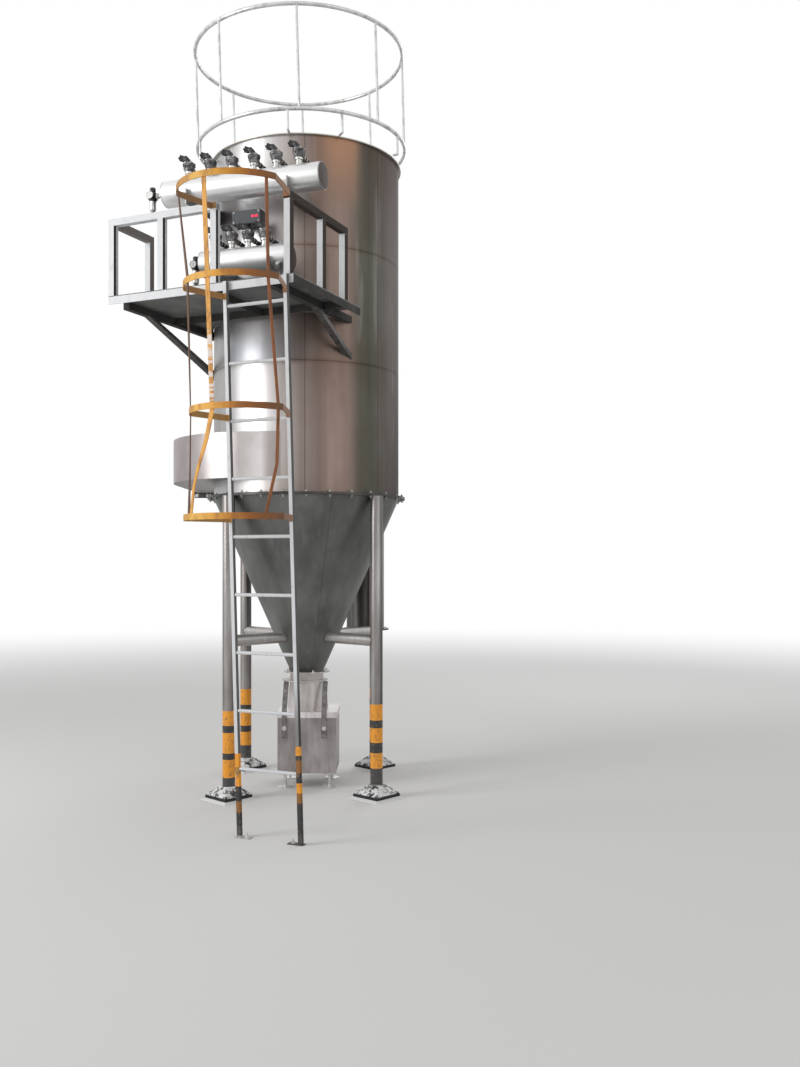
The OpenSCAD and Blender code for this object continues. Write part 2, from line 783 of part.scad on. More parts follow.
// A plate that cradles a header and runs back to the shell
module header_bracket(x, z) {
    nose = 22;
    low = header_od / 2 + 24;
    translate([x - bracket_t / 2, -header_dist, z]) difference() {
        translate([0, -header_od / 2 - nose, -low]) cube([bracket_t, header_dist + header_od / 2 + nose, low - 12]);
        translate([-1, 0, 0]) rotate([0, 90, 0]) cylinder(r = header_od / 2 + weld_gap, h = bracket_t + 2);
    }
}

module header_brackets() {
    color(steel) on_headers() difference() {
        union() {
            for (side = [-1, 1]) {
                header_bracket(header_upper_x + side * header_upper_len * 0.31, header_upper_z);
                header_bracket(header_lower_x + side * header_lower_len * 0.31, header_lower_z);
            }
        }
        translate([0, 0, deck_top]) cylinder(r = shell_r + weld_gap, h = shell_len);
        translate([-shell_od, 0, deck_top]) cube([2 * shell_od, shell_od, shell_len]);
    }
}

valve_stub = 44;
valve_body_h = 44;
bonnet_h = 12;

module pulse_valve(x, z) {
    body_z = header_od / 2 + valve_stub;
    translate([x, -header_dist, z]) {
        translate([0, 0, header_od / 2 - 6]) cylinder(d = blow_d, h = valve_stub + 8);
        translate([0, 0, body_z]) cylinder(d = bonnet_d - 14, h = valve_body_h);
        translate([0, 0, body_z + valve_body_h - bonnet_h]) cylinder(d = bonnet_d, h = bonnet_h);
        translate([0, 0, body_z + valve_body_h]) cylinder(d = bonnet_d - 26, h = 12);
        translate([0, 0, body_z + valve_body_h + 10]) cylinder(d = 22, h = 26);
        translate([-46, -12, body_z + valve_body_h + 12]) cube([48, 24, 22]);
    }
}

module upper_valves() {
    color(dark_grey) on_headers() difference() {
        for (i = [0:upper_count - 1])
            pulse_valve(row_x(header_upper_x, i, upper_count, upper_pitch), header_upper_z);
        translate([-shell_od, -header_dist, header_upper_z]) rotate([0, 90, 0])
            cylinder(r = header_od / 2 + weld_gap, h = 2 * shell_od);
    }
}

module lower_valves() {
    color(dark_grey) on_headers() difference() {
        for (i = [0:lower_count - 1])
            pulse_valve(row_x(lower_valve_x, i, lower_count, lower_pitch), header_lower_z);
        translate([-shell_od, -header_dist, header_lower_z]) rotate([0, 90, 0])
            cylinder(r = header_od / 2 + weld_gap, h = 2 * shell_od);
    }
}

// From a valve's side back to the shell, with a rubber sleeve at the valve
module blow_pipe(x, z) {
    seat = (bonnet_d - 14) / 2;
    translate([x, -header_dist, z + header_od / 2 + valve_stub + (valve_body_h - bonnet_h) / 2])
        rotate([-90, 0, 0]) difference() {
            union() {
                cylinder(d = blow_d - 6, h = header_dist);
                cylinder(d = blow_d - 3, h = seat + 60);
            }
            translate([0, 0, -1]) cylinder(d = blow_d - 12, h = header_dist + 2);
            rotate([90, 0, 0]) translate([0, 0, -bonnet_d])
                cylinder(r = seat + weld_gap, h = 2 * bonnet_d);
        }
}

module blow_pipes() {
    color(steel) on_headers() difference() {
        union() {
            for (i = [0:upper_count - 1])
                blow_pipe(row_x(header_upper_x, i, upper_count, upper_pitch), header_upper_z);
            for (i = [0:lower_count - 1])
                blow_pipe(row_x(lower_valve_x, i, lower_count, lower_pitch), header_lower_z);
        }
        translate([0, 0, deck_top]) cylinder(r = shell_r + weld_gap, h = shell_len);
        translate([-shell_od, 0, deck_top]) cube([2 * shell_od, shell_od, shell_len]);
    }
}

nipple_d = 20;
nipple_len = 82;
regulator_w = 46;
bowl_d = 40;
bowl_h = 71;
knob_d = 36;
knob_h = 30;
gauge_d = 44;
gauge_t = 16;

// A filter regulator on the left end of each header: nipple, body, bowl, knob and gauge
module air_regulator(x, z) {
    out = nipple_len;
    half = regulator_w / 2;
    translate([x - weld_gap, -header_dist, z]) {
        rotate([0, -90, 0]) cylinder(d = nipple_d, h = out);
        translate([-out - half, -half, -half]) cube([regulator_w, regulator_w, regulator_w]);
        translate([-out, 0, -half - bowl_h]) cylinder(d = bowl_d, h = bowl_h + 1);
        translate([-out, 0, -half - bowl_h - 8]) cylinder(d = 14, h = 10);
        translate([-out, 0, half - 1]) cylinder(d = knob_d, h = knob_h + 1);
        translate([-out, -half + 1, 0]) rotate([90, 0, 0]) cylinder(d = gauge_d, h = gauge_t);
    }
}

module air_regulators() {
    color(dark_grey) on_headers() {
        air_regulator(header_upper_x - header_upper_len / 2, header_upper_z);
        air_regulator(header_lower_x - header_lower_len / 2, header_lower_z);
    }
}

timer_gap = 144;
timer_shift = 80;

// The timer box stands off the shell on one short arm
module control_box() {
    arm = 40;
    box_y = -header_dist + 12;
    box_z = header_lower_z + header_od / 2 + timer_gap;
    color(dark_grey) on_headers() difference() {
        union() {
            translate([header_lower_x - timer_w + timer_shift, box_y, box_z]) cube([timer_w, 70, timer_h]);
            translate([header_lower_x - timer_w / 2, box_y + 60, box_z + (timer_h - arm) / 2])
                cube([arm, header_dist, arm]);
        }
        translate([0, 0, deck_top]) cylinder(r = shell_r + weld_gap, h = shell_len);
        translate([-shell_od, 0, deck_top]) cube([2 * shell_od, shell_od, shell_len]);
    }
}

// Roof guard rail
module on_roof() {
    translate([guard_shift, 0, roof_z]) rotate([0, -guard_lean, 0]) children();
}

module guard_tube(d, z) {
    translate([0, 0, z]) rotate_extrude() translate([guard_r, 0]) circle(d = d, $fn = 32);
}

module guard_ring_top() { color(white_paint) on_roof() guard_tube(guard_tube_d, guard_high); }
module guard_ring_low() { color(white_paint) on_roof() guard_tube(guard_tube_d, guard_low); }

module guard_posts() {
    color(white_paint) on_roof() difference() {
        for (i = [0:7]) rotate([0, 0, i * 45 + guard_turn]) translate([guard_r, 0, guard_low])
            cylinder(d = guard_post_d, h = guard_high - guard_low);
        guard_tube(guard_tube_d + 2 * weld_gap, guard_low);
        guard_tube(guard_tube_d + 2 * weld_gap, guard_high);
    }
}

stub_angles = [-157, -92, -64, -22, 67, 112];

module guard_stubs() {
    color(white_paint) difference() {
        on_roof() difference() {
            for (a = stub_angles) rotate([0, 0, a]) {
                translate([guard_r, 0, -roof_thick]) cylinder(d = guard_post_d, h = guard_low + roof_thick);
                translate([shell_r - 60, 0, -roof_thick / 2]) rotate([0, 90, 0])
                    cylinder(d = guard_post_d, h = guard_r - shell_r + 60);
            }
            guard_tube(guard_tube_d + 2 * weld_gap, guard_low);
        }
        translate([0, 0, shell_top - 100]) cylinder(r = shell_r + roof_lip + weld_gap, h = 200);
    }
}

shell_wall();
roof_plate();
shell_flange();
cone_flange();
cone_hopper();
outlet_flange();
slide_gate();
discharge_spout();
bin_lid();
bin_body();
bin_clamps();
bin_feet();
inlet_scroll();
inlet_flange();
outlet_elbow();
outlet_duct();
duct_flange();
leg_front_right();
leg_back_right();
leg_back_left();
leg_front_left();
leg_braces();
foot_pads();
ladder_stile_left();
ladder_stile_right();
ladder_rungs();
cage_hoop_top();
cage_hoops();
cage_straps();
deck_plate();
deck_frame();
deck_brackets();
rail_front();
rail_left();
rail_right();
header_upper();
header_lower();
header_brackets();
upper_valves();
lower_valves();
blow_pipes();
air_regulators();
control_box();
guard_ring_top();
guard_ring_low();
guard_posts();
guard_stubs();
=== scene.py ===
import math

import bmesh
import bpy
from mathutils import Matrix, Vector, noise


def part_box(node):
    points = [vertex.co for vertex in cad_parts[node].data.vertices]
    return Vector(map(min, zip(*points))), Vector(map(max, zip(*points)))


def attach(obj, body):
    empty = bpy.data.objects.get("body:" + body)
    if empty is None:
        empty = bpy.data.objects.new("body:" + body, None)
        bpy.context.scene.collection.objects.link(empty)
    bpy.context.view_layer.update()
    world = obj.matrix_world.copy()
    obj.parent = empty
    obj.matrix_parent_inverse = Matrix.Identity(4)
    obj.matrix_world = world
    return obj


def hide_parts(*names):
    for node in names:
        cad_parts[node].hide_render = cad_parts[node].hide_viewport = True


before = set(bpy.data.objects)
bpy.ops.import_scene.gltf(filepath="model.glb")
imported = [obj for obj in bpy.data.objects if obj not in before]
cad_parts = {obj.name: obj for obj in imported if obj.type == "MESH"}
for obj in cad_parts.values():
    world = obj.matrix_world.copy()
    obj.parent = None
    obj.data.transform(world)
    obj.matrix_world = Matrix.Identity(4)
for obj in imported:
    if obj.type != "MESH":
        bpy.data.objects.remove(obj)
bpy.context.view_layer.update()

# View, light and floor
# The camera stands level in front of the ladder, 1.46 m above the floor, and looks along +Y.
# A large lamp from the left gives the vessel its bright side, and a weaker one fills the right.
scene = bpy.context.scene
scene.view_settings.view_transform = "Standard"

camera_data = bpy.data.cameras.new("camera")
camera_data.lens = 34.48
camera_data.shift_y = 0.0248
camera = bpy.data.objects.new("camera", camera_data)
camera.location = (0.61, -6.70, 1.46)
camera.rotation_euler = (math.radians(90), 0, 0)
scene.collection.objects.link(camera)
scene.camera = camera


# Adds a node to a tree. An input takes a number, a colour or what another node gives.
def add(tree, kind, inputs=None, **settings):
    node = tree.nodes.new(kind)
    for key, value in settings.items():
        setattr(node, key, value)
    for key, value in (inputs or {}).items():
        if isinstance(value, bpy.types.NodeSocket):
            tree.links.new(value, node.inputs[key])
        else:
            node.inputs[key].default_value = value
    return node


def maths(tree, kind, first, second):
    return add(tree, "ShaderNodeMath", {0: first, 1: second}, operation=kind).outputs[0]


world = bpy.data.worlds.new("studio")
scene.world = world
world.use_nodes = True
sky = world.node_tree
sky.nodes.clear()
rays = add(sky, "ShaderNodeLightPath").outputs
seen = maths(sky, "MAXIMUM", rays["Is Camera Ray"], rays["Is Glossy Ray"])
seen = maths(sky, "MAXIMUM", seen, rays["Is Transmission Ray"])
soft_light = add(sky, "ShaderNodeBackground", {"Color": (1, 1, 1, 1), "Strength": 0.42})
white_wall = add(sky, "ShaderNodeBackground", {"Color": (1, 1, 1, 1), "Strength": 1.0})
either = add(sky, "ShaderNodeMixShader", {"Fac": seen, 1: soft_light.outputs[0], 2: white_wall.outputs[0]})
add(sky, "ShaderNodeOutputWorld", {"Surface": either.outputs[0]})


def soft_lamp(name, place, aim, width, height, power):
    data = bpy.data.lights.new(name, "AREA")
    data.shape = "RECTANGLE"
    data.size, data.size_y = width, height
    data.energy = power
    lamp = bpy.data.objects.new(name, data)
    lamp.location = place
    lamp.rotation_euler = (Vector(aim) - Vector(place)).to_track_quat("-Z", "Y").to_euler()
    scene.collection.objects.link(lamp)


soft_lamp("window", (-6.5, -3.6, 4.2), (0, 0, 2.3), 3.0, 5.0, 285)
soft_lamp("fill", (5.5, -6.0, 3.4), (0, 0, 2.2), 5.0, 5.0, 65)
soft_lamp("back", (3.5, 5.5, 5.0), (0, 0, 2.6), 4.0, 3.0, 90)

floor_mesh = bpy.data.meshes.new("floor")
floor_mesh.from_pydata([(-30, -30, 0), (30, -30, 0), (30, 30, 0), (-30, 30, 0)], [], [(0, 1, 2, 3)])
floor = bpy.data.objects.new("floor", floor_mesh)
scene.collection.objects.link(floor)
floor_paint = bpy.data.materials.new("floor_paint")
floor_paint.use_nodes = True
floor_shader = floor_paint.node_tree.nodes["Principled BSDF"]
floor_shader.inputs["Base Color"].default_value = (0.84, 0.84, 0.83, 1)
floor_shader.inputs["Roughness"].default_value = 0.9
floor_tree = floor_paint.node_tree
floor_place = add(floor_tree, "ShaderNodeTexCoord").outputs["Object"]
floor_far = add(floor_tree, "ShaderNodeVectorMath", {0: floor_place}, operation="LENGTH").outputs["Value"]
floor_fade = add(floor_tree, "ShaderNodeMapRange", {"Value": floor_far, "From Min": 3.0, "From Max": 16.0},
                 interpolation_type="SMOOTHSTEP").outputs[0]
floor_seen = add(floor_tree, "ShaderNodeLightPath").outputs["Is Camera Ray"]
floor_white = add(floor_tree, "ShaderNodeEmission").outputs[0]
floor_mix = add(floor_tree, "ShaderNodeMixShader", {
    "Fac": maths(floor_tree, "MULTIPLY", floor_fade, floor_seen), 1: floor_shader.outputs[0], 2: floor_white})
floor_tree.links.new(floor_mix.outputs[0], floor_tree.nodes["Material Output"].inputs["Surface"])
floor_mesh.materials.append(floor_paint)

# Shell
# The vessel is a tall drum of 4 mm stainless sheet, rolled and welded from three strakes.
# The sheet keeps its mill finish, with fine upright brush marks and the tint of the weld heat.


def finish(name, colour, roughness, metallic=0.0):
    made = bpy.data.materials.new(name)
    made.use_nodes = True
    shader = made.node_tree.nodes["Principled BSDF"]
    shader.inputs["Base Color"].default_value = (*colour, 1)
    shader.inputs["Roughness"].default_value = roughness
    shader.inputs["Metallic"].default_value = metallic
    return made


def put(made, source, socket):
    made.node_tree.links.new(source, made.node_tree.nodes["Principled BSDF"].inputs[socket])


def spot(made, scale=(1, 1, 1), turn=0):
    where = add(made.node_tree, "ShaderNodeTexCoord").outputs["Object"]
    return add(made.node_tree, "ShaderNodeMapping", {
        "Vector": where, "Rotation": (0, 0, math.radians(turn)), "Scale": scale}).outputs["Vector"]


def cloud(made, size, stretch=(1, 1, 1), detail=4, roughness=0.55):
    return add(made.node_tree, "ShaderNodeTexNoise", {
        "Vector": spot(made, stretch), "Scale": 1 / size, "Detail": detail,
        "Roughness": roughness}).outputs["Fac"]


# A grey may be given as one number
def rgba(shade):
    return (*shade, 1) if isinstance(shade, tuple) else (shade, shade, shade, 1)


def graded(made, source, stops, kind="LINEAR"):
    ramp = add(made.node_tree, "ShaderNodeValToRGB", {"Fac": source})
    ramp.color_ramp.interpolation = kind
    marks = ramp.color_ramp.elements
    while len(marks) < len(stops):
        marks.new(0.5)
    for mark, (at, shade) in zip(marks, stops):
        mark.position = at
        mark.color = rgba(shade)
    return ramp.outputs["Color"]


def patchy(name, colour, roughness, metallic, size, stops, stretch=(1, 1, 1), detail=4):
    made = finish(name, colour, roughness, metallic)
    put(made, graded(made, cloud(made, size, stretch, detail), stops), "Base Color")
    return made


def mixed(made, amount, first, second, kind="MIX"):
    first, second = (value if isinstance(value, bpy.types.NodeSocket) else rgba(value)
                     for value in (first, second))
    return add(made.node_tree, "ShaderNodeMix", {0: amount, 6: first, 7: second},
               data_type="RGBA", blend_type=kind).outputs[2]


def sum_of(made, kind, first, second):
    return maths(made.node_tree, kind, first, second)


def axis_value(made, axis, turn=0):
    return add(made.node_tree, "ShaderNodeSeparateXYZ", {0: spot(made, turn=turn)}).outputs[axis]


def spread(made, source, start, end):
    return add(made.node_tree, "ShaderNodeMapRange", {
        "Value": source, "From Min": start, "From Max": end}).outputs["Result"]


def dented(made, source, strength, depth):
    bump = add(made.node_tree, "ShaderNodeBump", {"Height": source, "Strength": strength, "Distance": depth})
    put(made, bump.outputs["Normal"], "Normal")


def compass(made):
    return spread(made, sum_of(made, "ARCTAN2", axis_value(made, "Y"), axis_value(made, "X")),
                  -math.pi, math.pi)


def band(made, source, middle, half, soft):
    away = sum_of(made, "ABSOLUTE", sum_of(made, "SUBTRACT", source, middle), 0)
    return graded(made, spread(made, away, half, half + soft), [(0, 1.0), (1, 0.0)])


# A place round the shell, as the share of a turn that the compass gives
def round_at(degrees):
    return degrees / 360 + 0.5


shell_steel = finish("shell_steel", (0.62, 0.60, 0.56), 0.33, 0.82)
around = compass(shell_steel)
# Round the drum the colour is painted light and shade: a painted highlight on the left, a painted brown
# reflection in front, and painted shade on the right and at the back.
drum_painted_light = graded(shell_steel, around, [(round_at(a), shade) for a, shade in (
    (-180, 0.36), (-150, (0.46, 0.46, 0.47)), (-128, (0.56, 0.56, 0.57)),
    (-112, (0.66, 0.65, 0.66)), (-95, (0.50, 0.45, 0.43)), (-88, (0.33, 0.27, 0.25)),
    (-78, (0.21, 0.158, 0.138)), (-70, (0.235, 0.175, 0.150)), (-61, (0.215, 0.160, 0.137)),
    (-56, (0.17, 0.142, 0.12)), (-52, (0.12, 0.11, 0.09)), (-45, (0.10, 0.105, 0.085)),
    (-37, (0.12, 0.11, 0.095)), (-25, (0.115, 0.098, 0.090)), (-8, (0.060, 0.052, 0.047)),
    (60, (0.10, 0.095, 0.09)), (180, 0.36))])
brushing = cloud(shell_steel, 0.05, (1, 1, 0.035), 5, 0.6)
blotches = cloud(shell_steel, 0.5, (1, 1, 0.6), 4)
runs = cloud(shell_steel, 0.16, (1, 1, 0.12), 3)
sheet = mixed(shell_steel, graded(shell_steel, brushing, [(0.32, 0.0), (0.72, 0.45)]), drum_painted_light,
              (0.62, 0.60, 0.57), "MULTIPLY")
sheet = mixed(shell_steel, graded(shell_steel, blotches, [(0.44, 0.0), (0.66, 0.60)]), sheet,
              (0.66, 0.60, 0.54), "MULTIPLY")
sheet = mixed(shell_steel, graded(shell_steel, runs, [(0.60, 0.0), (0.75, 0.30)]), sheet, (0.50, 0.49, 0.47))
height = axis_value(shell_steel, "Z")


# A patch of the drum, given by its angles and its heights, in another colour; the patches below are painted
# reflection and painted shade
def painted_light_zone(below, angles, low, high, rises, colour, kind="MIX"):
    on_side = graded(shell_steel, around, [(round_at(a), share) for a, share in angles])
    at_height = graded(shell_steel, spread(shell_steel, height, low, high), rises)
    return mixed(shell_steel, mixed(shell_steel, 1.0, on_side, at_height, "MULTIPLY"), below, colour, kind)


# Painted reflection: an orange glow high on the drum's front right.
sheet = painted_light_zone(sheet, [(-84, 0.0), (-68, 1.0), (-57, 0.9), (-50, 0.0)], 3.55, 4.0,
             [(0.0, 0.0), (1.0, 0.75)], (0.42, 0.22, 0.12))
# Painted shade: the top of the drum darkens to dark brown on its right and at its back.
sheet = painted_light_zone(sheet, [(-55, 0.0), (-45, 1.0), (180, 0.0)], 3.3, 4.0,
             [(0.0, 0.0), (1.0, 0.7)], (0.062, 0.036, 0.026))
# Painted shadow of the deck: a bluish shade on the drum's left front, just under the deck.
sheet = painted_light_zone(sheet, [(-150, 0.0), (-135, 1.0), (-92, 1.0), (-82, 0.0)], 2.62, 2.94,
             [(0.0, 0.0), (0.12, 1.0), (0.45, 0.8), (0.85, 0.0)], (0.60, 0.62, 0.66), "MULTIPLY")
# Painted shadow of the headers on the drum's left.
sheet = painted_light_zone(sheet, [(-152, 0.0), (-145, 1.0), (-130, 1.0), (-122, 0.0)], 3.30, 3.85,
             [(0.0, 0.0), (0.25, 0.8), (0.70, 1.0), (1.0, 0.0)], (0.34, 0.32, 0.32), "MULTIPLY")
low_seam, high_seam = 2.655, 3.345
seams = mixed(shell_steel, 1.0, band(shell_steel, height, low_seam, 0.0022, 0.002),
              band(shell_steel, height, high_seam, 0.0022, 0.002), "LIGHTEN")
upright = mixed(shell_steel, 1.0, band(shell_steel, around, round_at(-86), 0.0006, 0.0006),
                band(shell_steel, around, round_at(-38), 0.0006, 0.0006), "LIGHTEN")
seams = mixed(shell_steel, 1.0, seams, upright, "LIGHTEN")
heat = mixed(shell_steel, 1.0, band(shell_steel, height, low_seam, 0.004, 0.02),
             band(shell_steel, height, high_seam, 0.004, 0.02), "LIGHTEN")
sheet = mixed(shell_steel, graded(shell_steel, heat, [(0, 0.0), (1, 0.45)]), sheet,
              (0.80, 0.66, 0.54), "MULTIPLY")
sheet = mixed(shell_steel, graded(shell_steel, seams, [(0, 0.0), (1, 0.70)]), sheet,
              (0.45, 0.42, 0.40), "MULTIPLY")
put(shell_steel, sheet, "Base Color")
shell_rough = graded(shell_steel, blotches, [(0.3, 0.30), (0.75, 0.46)])
rim_rough = graded(shell_steel, around, [(round_at(-40), 0.0), (round_at(-15), 1.0), (1.0, 0.0)])
put(shell_steel, mixed(shell_steel, rim_rough, shell_rough, 0.68), "Roughness")
dented(shell_steel, mixed(shell_steel, 0.5, brushing, seams, "ADD"), 0.16, 0.003)


def dress(made, slot, *names):
    for name in names:
        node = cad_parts[name]
        node.data.materials.clear()
        node.data.materials.append(made)


dress(shell_steel, "shell_steel", "shell_wall")

# Roof
# A flat stainless plate is welded on the drum and closes it. It is duller than the drum,
# with dust lying on it.
roof_steel = patchy("roof_steel", (0.55, 0.54, 0.50), 0.42, 0.75, 0.35, [
    (0.30, (0.62, 0.61, 0.57)), (0.55, (0.50, 0.48, 0.43)), (0.75, (0.66, 0.65, 0.62))])
dress(roof_steel, "shell_steel", "roof_plate")

# Main flanges and their bolts
# Two rings of rolled steel angle, one on the drum and one on the cone, are drawn together by
# 28 bolts with washers and nuts. All bolts of the part are made by one tree of nodes.
flange_steel = patchy("flange_steel", (0.20, 0.20, 0.19), 0.45, 0.8, 0.09, [
    (0.30, (0.035, 0.034, 0.032)), (0.55, (0.070, 0.068, 0.064)), (0.78, (0.14, 0.135, 0.125))])
dress(flange_steel, "flange_steel", "shell_flange", "cone_flange", "inlet_flange", "duct_flange")

zinc = patchy("zinc_bolts", (0.66, 0.66, 0.64), 0.36, 0.9, 0.012, [
    (0.3, (0.48, 0.48, 0.46)), (0.7, (0.78, 0.78, 0.77))])


def fastener_tree():
    tree = bpy.data.node_groups.new("fasteners", "GeometryNodeTree")
    face = tree.interface
    face.new_socket("Places", in_out="INPUT", socket_type="NodeSocketGeometry")
    for name, value in (
            ("Head across flats", 0.016), ("Head height", 0.007), ("Washer", 0.0015), ("Stub", 0.0)):
        face.new_socket(name, in_out="INPUT", socket_type="NodeSocketFloat").default_value = value
    face.new_socket("Finish", in_out="INPUT", socket_type="NodeSocketMaterial")
    face.new_socket("Fasteners", in_out="OUTPUT", socket_type="NodeSocketGeometry")

    def round_bar(sides, radius, depth, lift):
        bar = add(tree, "GeometryNodeMeshCylinder", {"Vertices": sides, "Radius": radius, "Depth": depth},
                  fill_type="NGON")
        up = add(tree, "ShaderNodeCombineXYZ", {"Z": lift})
        return add(tree, "GeometryNodeTransform", {
            "Geometry": bar.outputs["Mesh"], "Translation": up.outputs[0]}).outputs["Geometry"]

    into = add(tree, "NodeGroupInput")
    flats, head, washer, stub = (into.outputs[i] for i in (1, 2, 3, 4))
    half_head = maths(tree, "MULTIPLY", head, 0.5)
    hexagon = round_bar(6, maths(tree, "MULTIPLY", flats, 0.5774), head,
                        maths(tree, "ADD", washer, half_head))
    disc = round_bar(16, maths(tree, "MULTIPLY", flats, 0.86), maths(tree, "ADD", washer, 0.001),
                     maths(tree, "MULTIPLY", washer, 0.5))
    head_top = maths(tree, "ADD", washer, head)
    thread = round_bar(10, maths(tree, "MULTIPLY", flats, 0.29), maths(tree, "ADD", stub, 0.002),
                       maths(tree, "ADD", head_top, maths(tree, "MULTIPLY", stub, 0.5)))
    whole = add(tree, "GeometryNodeJoinGeometry")
    for piece in (hexagon, disc, thread):
        tree.links.new(piece, whole.inputs[0])
    points = add(tree, "GeometryNodeMeshToPoints", {"Mesh": into.outputs[0]})
    aim = add(tree, "GeometryNodeInputNamedAttribute", {"Name": "aim"}, data_type="FLOAT_VECTOR")
    turn = add(tree, "FunctionNodeAlignRotationToVector", {"Vector": aim.outputs[0]}, axis="Z")
    many = add(tree, "GeometryNodeInstanceOnPoints", {
        "Points": points.outputs[0], "Instance": whole.outputs[0], "Rotation": turn.outputs[0]})
    twist = add(tree, "FunctionNodeRandomValue", {"Seed": 5, 3: math.pi / 3}, data_type="FLOAT")
    about = add(tree, "ShaderNodeCombineXYZ", {"Z": twist.outputs[1]})
    spun = add(tree, "GeometryNodeRotateInstances", {
        "Instances": many.outputs[0], "Rotation": about.outputs[0]})
    real = add(tree, "GeometryNodeRealizeInstances", {0: spun.outputs[0]})
    coated = add(tree, "GeometryNodeSetMaterial", {
        "Geometry": real.outputs[0], "Material": into.outputs[5]})
    add(tree, "NodeGroupOutput", {0: coated.outputs[0]})
    return tree


fasteners = fastener_tree()


def fasten(name, places, flats, head, washer=0.0015, stub=0.0, made=None):
    mesh = bpy.data.meshes.new(name)
    mesh.from_pydata([p for p, _ in places], [], [])
    aims = mesh.attributes.new("aim", "FLOAT_VECTOR", "POINT")
    aims.data.foreach_set("vector", [c for _, a in places for c in a])
    rough = bpy.data.objects.new(name + "_places", mesh)
    scene.collection.objects.link(rough)
    step = rough.modifiers.new("fasteners", "NODES")
    step.node_group = fasteners
    sockets = {s.name: s.identifier for s in fasteners.interface.items_tree if s.in_out == "INPUT"}
    step[sockets["Head across flats"]] = flats
    step[sockets["Head height"]] = head
    step[sockets["Washer"]] = washer
    step[sockets["Stub"]] = stub
    step[sockets["Finish"]] = made or zinc
    ready = rough.evaluated_get(bpy.context.evaluated_depsgraph_get())
    solid = bpy.data.meshes.new_from_object(ready)
    bpy.data.objects.remove(rough)
    piece = bpy.data.objects.new(name, solid)
    scene.collection.objects.link(piece)
    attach(piece, "root")
    return piece


def ring_places(radius, count, height, aim, centre=(0, 0), start=0.0):
    made = []
    for i in range(count):
        a = math.radians(start) + 2 * math.pi * i / count
        made.append(((centre[0] + radius * math.cos(a), centre[1] + radius * math.sin(a), height), aim))
    return made


shell_r = 0.600
bolt_ring_r = 0.626
ring_low, ring_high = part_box("cone_flange")[0].z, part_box("shell_flange")[1].z
main_bolts = ring_places(bolt_ring_r, 28, ring_high, (0, 0, 1), start=5)
main_bolts += ring_places(bolt_ring_r, 28, ring_low, (0, 0, -1), start=5)
dull_zinc = patchy("dull_zinc", (0.30, 0.30, 0.29), 0.5, 0.85, 0.02, [
    (0.3, (0.14, 0.14, 0.135)), (0.7, (0.42, 0.42, 0.41))])
fasten("main_flange_bolts", main_bolts, 0.015, 0.007, 0.0015, 0.006, made=dull_zinc)

# Cone
# The cone is folded from stainless sheet and is painted darker than the drum, as painted shade,
# greyish green, with pale scuffs and streaks where dust and water have run down to the outlet.
cone_steel = finish("cone_steel", (0.34, 0.36, 0.34), 0.40, 0.8)
cone_cloud = cloud(cone_steel, 0.28, (1, 1, 0.5), 5)
cone_runs = cloud(cone_steel, 0.05, (1, 1, 0.09), 4)
cone_shaded_tone = graded(cone_steel, cone_cloud, [
    (0.28, (0.100, 0.102, 0.098)), (0.50, (0.165, 0.168, 0.160)), (0.72, (0.26, 0.262, 0.254))])
cone_shaded_tone = mixed(cone_steel, graded(cone_steel, cone_runs, [(0.52, 0.0), (0.72, 0.5)]), cone_shaded_tone,
                  (0.22, 0.225, 0.215))
cone_seam = band(cone_steel, compass(cone_steel), round_at(-70), 0.0012, 0.0012)
cone_shaded_tone = mixed(cone_steel, graded(cone_steel, cone_seam, [(0, 0.0), (1, 0.25)]), cone_shaded_tone, 0.04)
put(cone_steel, cone_shaded_tone, "Base Color")
put(cone_steel, graded(cone_steel, cone_cloud, [(0.3, 0.34), (0.7, 0.5)]), "Roughness")
dented(cone_steel, cone_cloud, 0.12, 0.006)
dress(cone_steel, "cone_steel", "cone_hopper")

# Outlet flange, slide gate and spout
# Under the cone a flat flange and a slide gate of plate are bolted together, and a flared
# spout of lighter sheet leads down into the lid of the dust bin.


def folded_sheet(name, dull, plain, bright):
    made = finish(name, plain, 0.34, 0.82)
    clouds = cloud(made, 0.16, (1, 1, 0.6), 5)
    marks = cloud(made, 0.02, (1, 1, 0.12), 4)
    tone = graded(made, clouds, [(0.30, dull), (0.50, plain), (0.72, bright)])
    tone = mixed(made, graded(made, marks, [(0.5, 0.0), (0.75, 0.45)]), tone, (0.60, 0.58, 0.56), "MULTIPLY")
    put(made, tone, "Base Color")
    put(made, graded(made, clouds, [(0.3, 0.28), (0.7, 0.46)]), "Roughness")
    dented(made, clouds, 0.15, 0.006)
    return made


bin_steel = folded_sheet("bin_steel", (0.36, 0.34, 0.33), (0.52, 0.49, 0.48), (0.66, 0.64, 0.63))
dress(bin_steel, "bin_steel", "outlet_flange", "slide_gate", "discharge_spout")
gate_bolt_r, gate_top = 0.134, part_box("outlet_flange")[1].z
gate_bolts = ring_places(gate_bolt_r, 8, gate_top, (0, 0, 1), start=22.5)
fasten("gate_bolts", gate_bolts, 0.013, 0.006, 0.0015, 0.004)

# Dust bin
# A square bin of bright folded sheet with a deep lid stands on four round levelling feet.
# Two dark straps draw it up against the gate.
# The lid is painted far lighter than the body, though both are the same sheet: painted light on the lid and
# painted shade on the body.
dress(folded_sheet("bin_lid_lit_steel", (0.62, 0.58, 0.58), (0.80, 0.76, 0.76), (0.92, 0.90, 0.90)),
      "bin_steel", "bin_lid")
dress(folded_sheet("bin_body_shaded_steel", (0.22, 0.205, 0.20), (0.34, 0.315, 0.31), (0.48, 0.45, 0.45)),
      "bin_steel", "bin_body")
dark_iron = patchy("dark_iron", (0.085, 0.088, 0.096), 0.5, 0.3, 0.03, [
    (0.35, (0.055, 0.053, 0.053)), (0.62, (0.105, 0.095, 0.090)), (0.78, (0.17, 0.14, 0.12))])
dress(dark_iron, "dark_iron", "deck_brackets")
dress(zinc, "zinc", "bin_feet")


